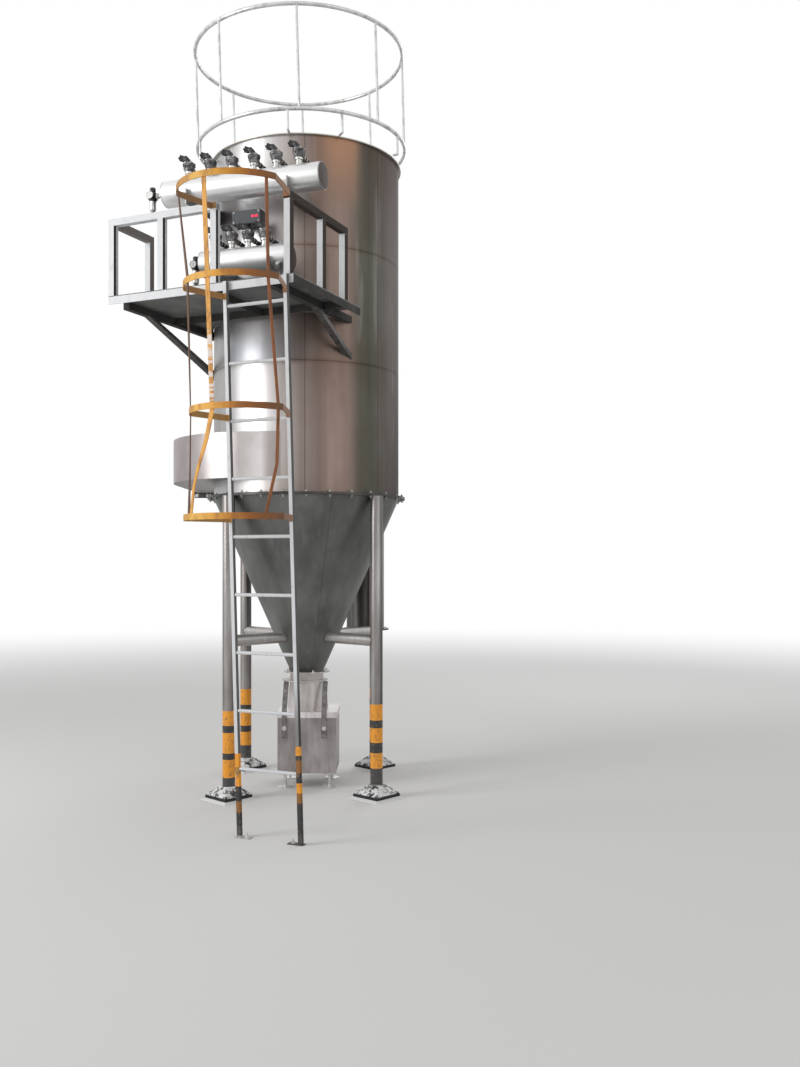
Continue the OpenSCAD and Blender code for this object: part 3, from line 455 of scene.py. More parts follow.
# Turns a profile, given as radius and rise, about the line from its foot along its aim
def lathe(form, profile, foot, aim=(0, 0, 1), sides=28):
    turn = Vector(aim).to_track_quat("Z", "Y").to_matrix()
    rings = []
    for radius, rise in profile:
        if radius < 1e-6:
            rings.append([form.verts.new(Vector(foot) + turn @ Vector((0, 0, rise)))])
            continue
        rings.append([form.verts.new(Vector(foot) + turn @ Vector((
            radius * math.cos(2 * math.pi * k / sides), radius * math.sin(2 * math.pi * k / sides), rise)))
            for k in range(sides)])
    for first, second in zip(rings, rings[1:]):
        for k in range(sides):
            corners = [first[k % len(first)], first[(k + 1) % len(first)],
                       second[(k + 1) % len(second)], second[k % len(second)]]
            form.faces.new(list(dict.fromkeys(corners)))
    return form


def bar(form, start, end, radius, sides=16):
    length = (Vector(end) - Vector(start)).length
    return lathe(form, [(0, 0), (radius, 0), (radius, length), (0, length)], start,
                 Vector(end) - Vector(start), sides)


def block(form, size, centre, turn=None, bevel=0.0):
    verts = bmesh.ops.create_cube(form, size=1)["verts"]
    turn = turn or Matrix.Identity(3)
    for v in verts:
        v.co = Vector(centre) + turn @ Vector((v.co.x * size[0], v.co.y * size[1], v.co.z * size[2]))
    if bevel:
        edges = list({e for v in verts for e in v.link_edges})
        bmesh.ops.bevel(form, geom=edges, offset=bevel, segments=2, affect="EDGES")
    return form


# Joins rings of corners into a tube and, where it is capped, closes its two ends
def tube(form, rings, painted_shade_ends=True):
    for first, second in zip(rings, rings[1:]):
        for k in range(len(first)):
            after = (k + 1) % len(first)
            form.faces.new([first[k], first[after], second[after], second[k]])
    if painted_shade_ends:
        form.faces.new(list(reversed(rings[0])))
        form.faces.new(rings[-1])


def swept(form, points, radius, sides):
    points = [Vector(p) for p in points]
    side, rings = None, []
    for i, p in enumerate(points):
        ahead = (points[min(i + 1, len(points) - 1)] - points[max(i - 1, 0)]).normalized()
        side = (side - ahead * side.dot(ahead)).normalized() if side else ahead.orthogonal().normalized()
        other = ahead.cross(side)
        rings.append([form.verts.new(p + radius * (side * math.cos(2 * math.pi * k / sides)
                                                   + other * math.sin(2 * math.pi * k / sides)))
                      for k in range(sides)])
    tube(form, rings)


# Draws a flat outline out into a plate, bar or strap
def drawn_out(form, outline, way):
    face = form.faces.new([form.verts.new(corner) for corner in outline])
    for moved in bmesh.ops.extrude_face_region(form, geom=[face])["geom"]:
        if isinstance(moved, bmesh.types.BMVert):
            moved.co += Vector(way)


def finished(name, form, made, crease=38, hides=()):
    bmesh.ops.recalc_face_normals(form, faces=form.faces)
    for face in form.faces:
        face.smooth = True
    for edge in form.edges:
        edge.smooth = not (edge.is_manifold and edge.calc_face_angle(0) > math.radians(crease))
    mesh = bpy.data.meshes.new(name)
    form.to_mesh(mesh)
    form.free()
    mesh.materials.append(made)
    piece = bpy.data.objects.new(name, mesh)
    scene.collection.objects.link(piece)
    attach(piece, "root")
    if hides:
        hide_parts(*hides)
    return piece


strap_steel = patchy("strap_steel", (0.20, 0.19, 0.185), 0.42, 0.6, 0.03, [
    (0.35, (0.13, 0.12, 0.12)), (0.60, (0.22, 0.21, 0.205)), (0.78, (0.34, 0.32, 0.31))])
clamp_low, clamp_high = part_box("bin_clamps")
clamp_x, clamp_half, clamp_thick, clamp_bend_z, clamp_bolt_z = 0.126, 0.016, 0.006, 0.502, 0.388
clamp_back = clamp_low.y + clamp_thick
clamp_side = [(clamp_high.y, clamp_high.z), (clamp_high.y - clamp_thick, clamp_high.z),
              (clamp_low.y, clamp_bend_z), (clamp_low.y, clamp_low.z), (clamp_back, clamp_low.z),
              (clamp_back, clamp_bend_z - 0.002), (clamp_high.y, clamp_high.z - 2 * clamp_thick)]
straps = bmesh.new()
for x in (-clamp_x, clamp_x):
    drawn_out(straps, [(x - clamp_half, y, z) for y, z in clamp_side], (2 * clamp_half, 0, 0))
finished("bin_straps", straps, strap_steel, hides=("bin_clamps",))
clamp_bolts = [((x, clamp_low.y, clamp_bolt_z), (0, -1, 0)) for x in (-clamp_x, clamp_x)]
fasten("bin_strap_bolts", clamp_bolts, 0.017, 0.008, 0.002, 0.006)

# Inlet scroll
# The inlet is a box of folded stainless sheet that wraps the drum and runs back to a flange.
# Sixteen bolts stand round the flange, where the supply duct is fixed.
scroll_steel = finish("scroll_steel", (0.62, 0.62, 0.60), 0.34, 0.8)
scroll_cloud = cloud(scroll_steel, 0.2, (1, 1, 0.8), 4)
# Along the inlet the colour is painted light and shade: darker at the left, a painted highlight towards the
# right, and darker again at the right end.
scroll_shading_and_blotches = graded(scroll_steel, spread(scroll_steel, axis_value(scroll_steel, "X"), -0.9, -0.1), [
    (0.03, (0.26, 0.23, 0.23)), (0.20, (0.35, 0.31, 0.31)), (0.42, (0.40, 0.37, 0.365)),
    (0.68, (0.42, 0.39, 0.385)), (0.78, (0.66, 0.63, 0.62)), (0.85, (0.85, 0.83, 0.83)),
    (0.91, (0.52, 0.48, 0.47)), (1.0, (0.38, 0.345, 0.335))])
scroll_shading_and_blotches = mixed(scroll_steel, graded(scroll_steel, scroll_cloud, [(0.45, 0.0), (0.70, 0.5)]),
                    scroll_shading_and_blotches, (0.66, 0.63, 0.60), "MULTIPLY")
put(scroll_steel, scroll_shading_and_blotches, "Base Color")
dented(scroll_steel, scroll_cloud, 0.12, 0.006)
dress(scroll_steel, "shell_steel", "inlet_scroll")
inlet_lo, inlet_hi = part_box("inlet_flange")
from_edge = 0.0175
left, right, low, high = (inlet_lo.x + from_edge, inlet_hi.x - from_edge,
                          inlet_lo.z + from_edge, inlet_hi.z - from_edge)
inlet_bolts = []
for i in range(5):
    across, up = left + i * (right - left) / 4, low + i * (high - low) / 4
    inlet_bolts += [((across, inlet_lo.y, z), (0, -1, 0)) for z in (low, high)]
    if 0 < i < 4:
        inlet_bolts += [((x, inlet_lo.y, up), (0, -1, 0)) for x in (left, right)]
fasten("inlet_flange_bolts", inlet_bolts, 0.015, 0.007, 0.002, 0.0)

# Outlet elbow and duct
# Clean air leaves the back of the drum through a bend and a straight pipe down to a flange.
# Both are rolled from thin stainless sheet and welded, and are dark, with long upright streaks.
duct_steel = patchy("duct_steel", (0.60, 0.60, 0.58), 0.32, 0.85, 0.06, [
    (0.30, (0.07, 0.068, 0.064)), (0.55, (0.14, 0.135, 0.13)), (0.75, (0.30, 0.29, 0.28))], (1, 1, 0.08))
dress(duct_steel, "shell_steel", "outlet_elbow", "outlet_duct")
duct_lo, duct_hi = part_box("duct_flange")
duct_centre = ((duct_lo.x + duct_hi.x) / 2, (duct_lo.y + duct_hi.y) / 2)
duct_bolt_r, duct_angle = 0.1525, 63
duct_bolts = ring_places(duct_bolt_r, 8, duct_hi.z, (0, 0, 1), duct_centre, duct_angle)
fasten("duct_flange_bolts", duct_bolts, 0.015, 0.007, 0.002, 0.0)

# Legs and braces
# Four stainless pipes carry the vessel. Each has bands of orange and black hazard tape near
# its foot, and a short pipe brace welded between it and the cone.


def pipe_tone(made):
    marks = cloud(made, 0.03, (1, 1, 0.06), 4)
    stains = cloud(made, 0.25, (1, 1, 0.5), 4)
    tone = graded(made, marks, [
        (0.30, (0.24, 0.225, 0.215)), (0.55, (0.36, 0.34, 0.33)), (0.76, (0.50, 0.48, 0.47))])
    return mixed(made, graded(made, stains, [(0.48, 0.0), (0.70, 0.45)]), tone, (0.17, 0.14, 0.12))


def taped(made, plain, bands, wear):
    height = spread(made, axis_value(made, "Z"), 0.0, 1.0)
    tape = graded(made, height, [(z, shade or 0.5) for z, shade in bands], "CONSTANT")
    scuffs = graded(made, cloud(made, 0.015, (1, 1, 0.7), 5), [(0.56, 0.0), (0.66, wear)])
    on_tape = graded(made, height, [(z, 1.0 if shade else 0.0) for z, shade in bands], "CONSTANT")
    put(made, mixed(made, on_tape, plain, mixed(made, scuffs, tape, (0.24, 0.16, 0.09))), "Base Color")
    return on_tape


orange_tape, black_tape, grey_tape = (0.90, 0.36, 0.03), (0.035, 0.035, 0.037), (0.060, 0.060, 0.062)
leg_angles, leg_turn, leg_reach, leg_r = (-45, 45, 135, -135), 2, 0.637, 0.038


def leg_finish(name, angle, tops):
    made = finish(name, (0.56, 0.55, 0.52), 0.30, 0.85)
    middle = leg_reach * math.cos(math.radians(angle + leg_turn))
    # The side of each leg towards +X is darkened as painted shade.
    leg_side_shade = graded(made, spread(made, axis_value(made, "X"), middle, middle + leg_r), [
        (0.25, 1.0), (0.95, 0.30)])
    plain = mixed(made, 1.0, pipe_tone(made), leg_side_shade, "MULTIPLY")
    shades = [grey_tape, orange_tape, black_tape, orange_tape, black_tape, orange_tape, None]
    on_tape = taped(made, plain, [(0.0, None)] + list(zip(tops, shades)), 0.75)
    put(made, graded(made, on_tape, [(0.0, 0.85), (1.0, 0.0)]), "Metallic")
    put(made, graded(made, on_tape, [(0.0, 0.30), (1.0, 0.50)]), "Roughness")
    dress(made, "pipe_steel", name)


leg_finish("leg_front_right", -45, (0.086, 0.187, 0.280, 0.3415, 0.4335, 0.478, 0.577))
leg_finish("leg_back_right", 45, (0.086, 0.200, 0.290, 0.338, 0.447, 0.492, 0.559))
leg_finish("leg_back_left", 135, (0.086, 0.170, 0.262, 0.308, 0.399, 0.451, 0.559))
leg_finish("leg_front_left", -135, (0.080, 0.135, 0.246, 0.283, 0.408, 0.453, 0.5395))
brace_steel = finish("brace_steel", (0.56, 0.55, 0.52), 0.34, 0.80)
put(brace_steel, mixed(brace_steel, 0.45, pipe_tone(brace_steel), (0.62, 0.60, 0.59)), "Base Color")
brace_z, brace_r, bead_r = 0.965, 0.036, 0.003
# The cone's radius and height at its foot and at its top
cone_low, cone_high = (0.108, 0.737), (0.600, 1.852)


def cone_radius(z):
    return cone_low[0] + (cone_high[0] - cone_low[0]) * (z - cone_low[1]) / (cone_high[1] - cone_low[1])


braces, beads = bmesh.new(), bmesh.new()
for angle in leg_angles:
    turn = Matrix.Rotation(math.radians(angle + leg_turn), 3, "Z")
    inner, outer, inner_bead, outer_bead = [], [], [], []
    for k in range(32):
        a = 2 * math.pi * k / 32
        across, up = math.cos(a), brace_z + brace_r * math.sin(a)
        near = math.sqrt((cone_radius(up) - 0.001) ** 2 - (brace_r * across) ** 2)
        far = leg_reach - math.sqrt(leg_r ** 2 - (brace_r * across) ** 2) + 0.001
        inner.append(turn @ Vector((near, brace_r * across, up)))
        outer.append(turn @ Vector((far, brace_r * across, up)))
        wide = 1.0 + 0.001 / brace_r
        aside, rise = brace_r * across * wide, brace_z + (up - brace_z) * wide
        inner_bead.append(turn @ Vector((near + 0.002, aside, rise)))
        outer_bead.append(turn @ Vector((far - 0.002, aside, rise)))
    ends = [[braces.verts.new(v) for v in ring] for ring in (inner, outer)]
    tube(braces, ends, painted_shade_ends=False)
    for end in ends:
        middle = braces.verts.new(sum((v.co for v in end), Vector()) / 32)
        for k in range(32):
            braces.faces.new((end[k], end[(k + 1) % 32], middle))
    for line in (inner_bead, outer_bead):
        swept(beads, line + line[:1], bead_r, 8)
finished("brace_tubes", braces, brace_steel, hides=("leg_braces",))
finished("brace_welds", beads, strap_steel)

# Foot pads
# Each leg stands in a heap of rough white grout, trowelled by hand over a dark steel plate, with
# a thin white lip where the grout has run down to the floor.
grout = finish("grout", (0.60, 0.60, 0.58), 0.85)
grout_fine = cloud(grout, 0.034, detail=6, roughness=0.72)
grout_tone = graded(grout, grout_fine, [(0.40, 0.020), (0.445, 0.09), (0.475, 0.60), (0.55, 0.92)])
plate_edge = graded(grout, spread(grout, axis_value(grout, "Z"), 0.0, 0.1), [
    (0.0, 0.0), (0.125, 0.0), (0.140, 1.0), (0.295, 1.0), (0.335, 0.0)])
lip = graded(grout, spread(grout, axis_value(grout, "Z"), 0.0120, 0.0130), [(0.0, 1.0), (1.0, 0.0)])
grout_tone = mixed(grout, lip, grout_tone, 0.86)
put(grout, mixed(grout, plate_edge, grout_tone, (0.018, 0.019, 0.020)), "Base Color")
dented(grout, grout_fine, 0.7, 0.008)

# The pad's height, from its middle out to its edge at 1.0
pad_half, pad_thin, pad_high = 0.1185, 0.0015, 0.0848
pad_steps, coarse_grain, fine_grain = 64, 90, 210
pad_profile = ((0.00, 0.0845), (0.34, 0.0830), (0.42, 0.0740), (0.80, 0.0380),
               (0.84, 0.0320), (0.865, 0.0120), (1.0, 0.0040))


def pad_rise(x, y, which):
    out = max(abs(x), abs(y)) / pad_half
    coarse = noise.noise(Vector((x * coarse_grain, y * coarse_grain, which)))
    rough = 0.5 * coarse + 0.35 * noise.noise(Vector((x * fine_grain, y * fine_grain, which)))
    out = min(1.0, max(0.0, out + 0.030 * rough))
    for (near, high), (far, low) in zip(pad_profile, pad_profile[1:]):
        if out <= far:
            rise = high + (low - high) * (out - near) / (far - near)
            break
    return max(pad_thin, min(pad_high, rise + (0.0080 * rough if 0.36 < out < 0.82 else 0.0)))


pads = bmesh.new()
for i, angle in enumerate(leg_angles):
    turn = Matrix.Rotation(math.radians(angle + leg_turn), 3, "Z")
    centre = turn @ Vector((leg_reach, 0, 0))
    grid = []
    for row in range(pad_steps + 1):
        y = pad_half * (2 * row / pad_steps - 1)
        line = []
        for step in range(pad_steps + 1):
            x = pad_half * (2 * step / pad_steps - 1)
            line.append(pads.verts.new(centre + turn @ Vector((x, y, pad_rise(x, y, i)))))
        grid.append(line)
    for lower, upper in zip(grid, grid[1:]):
        for k in range(pad_steps):
            pads.faces.new((lower[k], lower[k + 1], upper[k + 1], upper[k]))
    rim = grid[0] + [line[-1] for line in grid[1:]] + grid[-1][-2::-1] + [line[0] for line in grid[-2:0:-1]]
    feet = [pads.verts.new((v.co.x, v.co.y, 0.0)) for v in rim]
    for k in range(len(rim)):
        pads.faces.new((rim[k], rim[(k + 1) % len(rim)], feet[(k + 1) % len(rim)], feet[k]))
    pads.faces.new(feet)
finished("pad_grout", pads, grout, hides=("foot_pads",))

# Ladder
# The ladder is welded from square tube with round rungs and runs a little aslant up to the
# platform. It is painted white, with hazard tape near the floor, and bolted down at its feet.


def worn_white(name):
    made = finish(name, (0.72, 0.73, 0.75), 0.50)
    wear = cloud(made, 0.03, (1, 1, 0.5), 5)
    return made, graded(made, wear, [
        (0.28, (0.58, 0.59, 0.61)), (0.42, (0.70, 0.71, 0.73)), (0.76, (0.75, 0.76, 0.77)),
        (0.82, (0.42, 0.39, 0.36))])


white_paint, rung_white = worn_white("white_paint")
put(white_paint, rung_white, "Base Color")
dress(white_paint, "white_paint", "ladder_rungs")

# Painted shade darkens the sides of the tubes that face the vessel's right
side_shade = (0.022, 0.020, 0.018)
platform_turn = 23.5
stile_lean = 0.0303
ladder_mid, stile_gap, stile_half = 0.496, 0.183, 0.011


def stile_finish(name, side, bands, dull_to):
    made, clean = worn_white(name)
    across = axis_value(made, "X", turn=platform_turn)
    up = axis_value(made, "Z")
    level = sum_of(made, "ADD", across, sum_of(made, "MULTIPLY", up, stile_lean))
    # The side of each stile towards the vessel's right is darkened as painted shade.
    shaded_side = band(made, level, ladder_mid + side * stile_gap + stile_half, 0.0014, 0.0010)
    dull = graded(made, spread(made, up, 0.0, 2.0), [(dull_to - 0.12, 0.85), (dull_to, 0.0)])
    plain = mixed(made, dull, clean, (0.16, 0.155, 0.15))
    plain = mixed(made, graded(made, shaded_side, [(0.0, 0.0), (1.0, 0.85)]), plain, side_shade)
    taped(made, plain, bands, 0.9)
    put(made, mixed(made, shaded_side, 0.45, 0.95), "Roughness")
    dress(made, "white_paint", name)


brown_tape = (0.30, 0.13, 0.03)
stile_finish("ladder_stile_left", -1, [
    (0.0, (0.50, 0.50, 0.49)), (0.010, (0.09, 0.085, 0.08)), (0.06, black_tape), (0.13, brown_tape),
    (0.19, black_tape), (0.268, orange_tape), (0.33, (0.45, 0.22, 0.05)), (0.37, orange_tape),
    (0.44, None)], 0.22)
stile_finish("ladder_stile_right", 1, [
    (0.0, (0.08, 0.075, 0.07)), (0.05, black_tape), (0.212, brown_tape), (0.263, orange_tape),
    (0.315, black_tape), (0.366, brown_tape), (0.43, black_tape), (0.456, orange_tape),
    (0.501, None)], 0.43)
to_deck = Matrix.Rotation(math.radians(-platform_turn), 3, "Z")
ladder_y, foot_plate = -1.3043, 0.005
foot_bolt_gap = stile_gap - stile_half - 0.034
foot_bolts = [(to_deck @ Vector((ladder_mid + side * foot_bolt_gap, ladder_y, foot_plate)), (0, 0, 1))
              for side in (-1, 1)]
fasten("ladder_foot_bolts", foot_bolts, 0.015, 0.008, 0.002, 0.010)

# Safety cage
# The cage is bent by hand from flat bar: four hoops are joined by three upright straps. It is
# painted orange, and rusted on the bends and where it has been rubbed.
cage_paint = finish("cage_paint", (0.80, 0.36, 0.03), 0.62)
cage_across = axis_value(cage_paint, "X", turn=platform_turn)
# Across the cage the orange is painted light in the middle and painted shade towards its sides, and painted
# shade at its back.
cage_shading_and_rust = graded(cage_paint, spread(cage_paint, cage_across, 0.0, 1.0), [
    (0.10, (0.36, 0.19, 0.06)), (0.20, (0.62, 0.33, 0.07)), (0.30, (0.84, 0.47, 0.09)),
    (0.42, (0.82, 0.40, 0.05)), (0.52, (0.62, 0.25, 0.035)), (0.60, (0.36, 0.125, 0.025)),
    (0.70, (0.17, 0.070, 0.025))])
cage_wear = graded(cage_paint, cloud(cage_paint, 0.05, (1, 1, 0.6), 5), [(0.36, 0.55), (0.52, 0.0)])
cage_shading_and_rust = mixed(cage_paint, cage_wear, cage_shading_and_rust, (0.30, 0.11, 0.035))
cage_depth = axis_value(cage_paint, "Y", turn=platform_turn)
cage_back_shade = graded(cage_paint, spread(cage_paint, cage_depth, -1.60, -1.48), [(0.0, 0.0), (1.0, 0.55)])
put(cage_paint, mixed(cage_paint, cage_back_shade, cage_shading_and_rust, (0.22, 0.11, 0.05)), "Base Color")
dress(cage_paint, "cage_paint", "cage_hoop_top", "cage_hoops")


def strap_finish(name, tone, rust):
    made = finish(name, tone, 0.62)
    stains = graded(made, cloud(made, 0.04, (1, 1, 0.5), 5), [(0.36, 0.6), (0.52, 0.0)])
    return made, mixed(made, stains, tone, rust)


# Flat bars bent by hand run down inside the hoops. A hoop is given by its lower edge, half its
# width, how far its middle stands to the left, and the face that its ends are fixed to. A strap
# is given by how far right of a hoop's middle it stands, for each hoop from the top and each bend.
hoops = [(3.339, 0.295, 0.033, -1.2930), (2.837, 0.280, 0.003, -1.3153),
         (2.194, 0.272, -0.009, -1.3153), (1.658, 0.295, 0.023, -1.3153)]
cage_reach, bow_deep, strap_thick, hoop_high = 0.405, 0.180, 0.005, 0.032
bend_out, bend_z = 0.012, 1.926
ladder_top_x, ladder_drift, ladder_high = 0.407, 0.089, 2.935


# A strap lies inside the hoop, and its edges touch the hoop before its middle does
def strap_slice(hoop, aside, width, z, out=0.0):
    half, left, face = hoop[1:]
    bow = (half * half + bow_deep * bow_deep) / 2 / bow_deep
    reach = bow - 1.6 * strap_thick - width * width / 8 / bow + out
    ladder_x = ladder_top_x + ladder_drift * (1 - z / ladder_high)
    middle = Vector((ladder_x - left, face - cage_reach + bow, z))
    outward = Vector((aside, -math.sqrt(reach * reach - aside * aside), 0)) / reach
    along = Vector((-outward.y, outward.x, 0))
    centre = middle + reach * outward
    return [to_deck @ (centre + outward * i * strap_thick / 2 + along * j * width / 2)
            for i, j in ((-1, -1), (1, -1), (1, 1), (-1, 1))]


def strap(name, made, width, places, bends, hides=()):
    slices = []
    for hoop, aside in zip(hoops, places):
        if hoop is hoops[-1]:
            slices += [strap_slice(hoops[2], bent, width, z, bend_out) for bent, z in bends]
        slices += [strap_slice(hoop, aside, width, hoop[0] + hoop_high + 0.002),
                   strap_slice(hoop, aside, width, hoop[0] - 0.003)]
    form = bmesh.new()
    tube(form, [[form.verts.new(corner) for corner in corners] for corners in slices])
    finished(name, form, made, hides=hides)


brown_strap, tone = strap_finish("brown_strap", (0.125, 0.060, 0.032), (0.08, 0.040, 0.024))
put(brown_strap, tone, "Base Color")
strap("cage_strap_left", brown_strap, 0.026, (-0.240, -0.176, -0.229, -0.181), ((-0.222, bend_z),),
      hides=("cage_straps",))
rusty_strap, tone = strap_finish("rusty_strap", (0.32, 0.115, 0.040), (0.15, 0.055, 0.024))
put(rusty_strap, tone, "Base Color")
strap("cage_strap_right", rusty_strap, 0.016, (0.263, 0.246, 0.255, 0.236), ((0.254, bend_z),))
orange_strap, tone = strap_finish("orange_strap", (0.82, 0.40, 0.075), (0.30, 0.12, 0.040))
height = axis_value(orange_strap, "Z")
bare = graded(orange_strap, spread(orange_strap, height, 2.0, 3.0), [
    (0.20, 0.0), (0.23, 1.0), (0.56, 1.0), (0.60, 0.0)])
bare_spots = graded(orange_strap, cloud(orange_strap, 0.035, (0.1, 0.1, 1), 2), [
    (0.46, 0.0), (0.50, 0.9)])
bare = sum_of(orange_strap, "MULTIPLY", bare, bare_spots)
put(orange_strap, mixed(orange_strap, bare, tone, (0.82, 0.72, 0.66)), "Base Color")
strap("cage_strap_middle", orange_strap, 0.025, (-0.012, -0.021, -0.025, -0.157),
      ((-0.057, 2.05), (-0.117, bend_z), (-0.167, 1.83)))

# Platform
# The deck is a thin plate, dark underneath, with a white edge angle at the front and dark steel
# members and two struts below. The right handrail is white too, but its top is darkened to brown
# for dirt and painted shade, and the sides of the posts carry painted shade.
deck_paint = patchy("deck_paint", (0.12, 0.125, 0.125), 0.55, 0.2, 0.12, [
    (0.3, (0.075, 0.08, 0.08)), (0.6, (0.14, 0.145, 0.14)), (0.8, (0.22, 0.21, 0.19))])
frame_paint, frame_white = worn_white("frame_paint")
frame_depth = axis_value(frame_paint, "Y", turn=platform_turn)
frame_across = axis_value(frame_paint, "X", turn=platform_turn)
frame_front = graded(frame_paint, spread(frame_paint, frame_depth, -1.300, -1.280), [
    (0.0, 1.0), (0.6, 0.0)], "CONSTANT")
frame_end = graded(frame_paint, spread(frame_paint, frame_across, 0.6275, 0.6285), [
    (0.0, 1.0), (1.0, 0.0)])
frame_front = sum_of(frame_paint, "MULTIPLY", frame_front, frame_end)
frame_dark = graded(frame_paint, cloud(frame_paint, 0.12), [
    (0.3, (0.026, 0.025, 0.024)), (0.6, (0.045, 0.042, 0.040)), (0.8, (0.085, 0.078, 0.070))])
put(frame_paint, mixed(frame_paint, frame_front, frame_dark, frame_white), "Base Color")
put(frame_paint, mixed(frame_paint, frame_front, 0.9, 0.45), "Roughness")


def plate(form, outline, low, high):
    drawn_out(form, [to_deck @ Vector((x, y, low)) for x, y in outline], (0, 0, high - low))


deck_left, deck_right, deck_front, deck_end, deck_high = -0.557, 0.629, -1.293, -0.500, 2.940
frame_low, frame_high, steel = 2.893, 2.935, 0.005
shell_gap = 0.603
deck_back = -0.720
strut_left, strut_right = 0.455, 0.495
# The plate's back is cut round the shell, from its right side to its left one
plate_outline = [(deck_left, deck_front), (deck_right, deck_front), (deck_right, deck_end)]
first = math.asin(deck_end / shell_gap)
last = math.asin(deck_left / shell_gap) - math.pi / 2
plate_outline += [(shell_gap * math.cos(a), shell_gap * math.sin(a))
                  for a in (first + (last - first) * k / 40 for k in range(41))]
deck = bmesh.new()
plate(deck, plate_outline, frame_high, deck_high)
finished("deck_sheet", deck, deck_paint, hides=("deck_plate",))


def strip(x0, x1, y0, y1):
    return [(x0, y0), (x1, y0), (x1, y1), (x0, y1)]


# The front and right angles, the two halves of the back one, the middle bar and the two struts
members = [
    strip(deck_left, deck_right, deck_front, deck_front + steel),
    strip(deck_right - steel, deck_right, deck_front + steel, deck_end),
    strip(deck_left + 0.040, strut_left, deck_back, deck_back + steel),
    strip(strut_right, deck_right - steel, deck_back, deck_back + steel),
    strip(0.090, 0.095, deck_front + steel, deck_back),
    [(deck_left, -1.163), (deck_left + 0.040, -1.163), (deck_left + 0.040, -0.305), (deck_left, -0.224)],
    [(strut_left, deck_front + steel), (strut_right, deck_front + steel),
     (strut_right, -0.340), (strut_left, -0.392)]]
for i, outline in enumerate(members):
    member = bmesh.new()
    plate(member, outline, frame_low, frame_high)
    finished("deck_member_%d" % (i + 1), member, frame_paint,
             hides=("deck_frame",) if i == 0 else ())
rail_top_z, rail_deep = 3.370, 0.040


def rail_finish(name, post_sides, beam_shade_and_dirt=None):
    made, clean = worn_white(name)
    across = axis_value(made, "X", turn=platform_turn)
    under_beam = rail_top_z - rail_deep
    below = graded(made, spread(made, axis_value(made, "Z"), under_beam, under_beam + 0.004), [
        (0.0, 1.0), (1.0, 0.0)])
    # The sides of the posts are darkened as painted shade; where a colour is given, the top tube is darkened
    # too, for dirt and painted shade.
    shade_and_dirt = 0
    for at in post_sides:
        on_side = band(made, across, at, 0.0012, 0.0010)
        shade_and_dirt = sum_of(made, "MAXIMUM", on_side, shade_and_dirt)
    shade_and_dirt = sum_of(made, "MULTIPLY", shade_and_dirt, below)
    if beam_shade_and_dirt:
        beam = graded(made, spread(made, axis_value(made, "Z"), 3.3295, 3.3315), [(0.0, 0.0), (1.0, 1.0)])
        shade_and_dirt = sum_of(made, "MAXIMUM", shade_and_dirt, beam)
    else:
        depth = axis_value(made, "Y", turn=platform_turn)
        front_half = graded(made, spread(made, depth, -1.276, -1.273), [(0.0, 1.0), (1.0, 0.0)])
        shade_and_dirt = sum_of(made, "MULTIPLY", shade_and_dirt, front_half)
    put(made, mixed(made, shade_and_dirt, clean, beam_shade_and_dirt or side_shade), "Base Color")
    put(made, mixed(made, shade_and_dirt, 0.45, 0.95), "Roughness")
    dress(made, "white_paint", name)


rail_finish("rail_front", (-0.519, -0.186, 0.158))
rail_finish("rail_left", (-0.519,), (0.24, 0.22, 0.21))
rail_finish("rail_right", (0.609,), (0.040, 0.030, 0.025))

# Air headers
# The two compressed air headers are bright stainless tubes with dished ends welded on, lying in
# plate saddles. The lower one has a drain cock at its front.
header_turn = math.radians(-18)
header_y = -0.782
header_r = 0.078
upper_z, lower_z = 3.650, 3.208
upper_left, upper_right, lower_left, lower_right = -0.590, 0.450, -0.340, 0.250
to_row = Matrix.Rotation(header_turn, 3, "Z")


def on_row(x, y, z):
    return tuple(to_row @ Vector((x, y, z)))


def header_finish(name, left, right):
    made = finish(name, (0.82, 0.82, 0.81), 0.36, 0.75)
    along = axis_value(made, "X", turn=-math.degrees(header_turn))
    middle, half = (left + right) / 2, (right - left) / 2
    from_middle = sum_of(made, "ABSOLUTE", sum_of(made, "SUBTRACT", along, middle), 0)
    tone = graded(made, cloud(made, 0.2, (0.3, 1, 1), 4), [(0.30, 0.74), (0.55, 0.90), (0.8, 0.95)])
    # Both dished ends are painted dark as painted shade.
    painted_shade_ends = spread(made, from_middle, half - 0.0150, half - 0.0125)
    tone = mixed(made, painted_shade_ends, tone, (0.105, 0.088, 0.082))
    put(made, mixed(made, painted_shade_ends, 0.36, 0.62), "Roughness")
    seam = band(made, from_middle, half - 0.0160, 0.0016, 0.0016)
    put(made, mixed(made, graded(made, seam, [(0, 0.0), (1, 0.7)]), tone, (0.16, 0.15, 0.14)), "Base Color")
    return made


dress(header_finish("upper_header_steel", upper_left, upper_right), "header_steel", "header_upper")
dress(header_finish("lower_header_steel", lower_left, lower_right), "header_steel", "header_lower")
saddle_steel = finish("saddle_steel", (0.34, 0.34, 0.33), 0.42, 0.8)
dress(saddle_steel, "header_steel", "header_brackets")

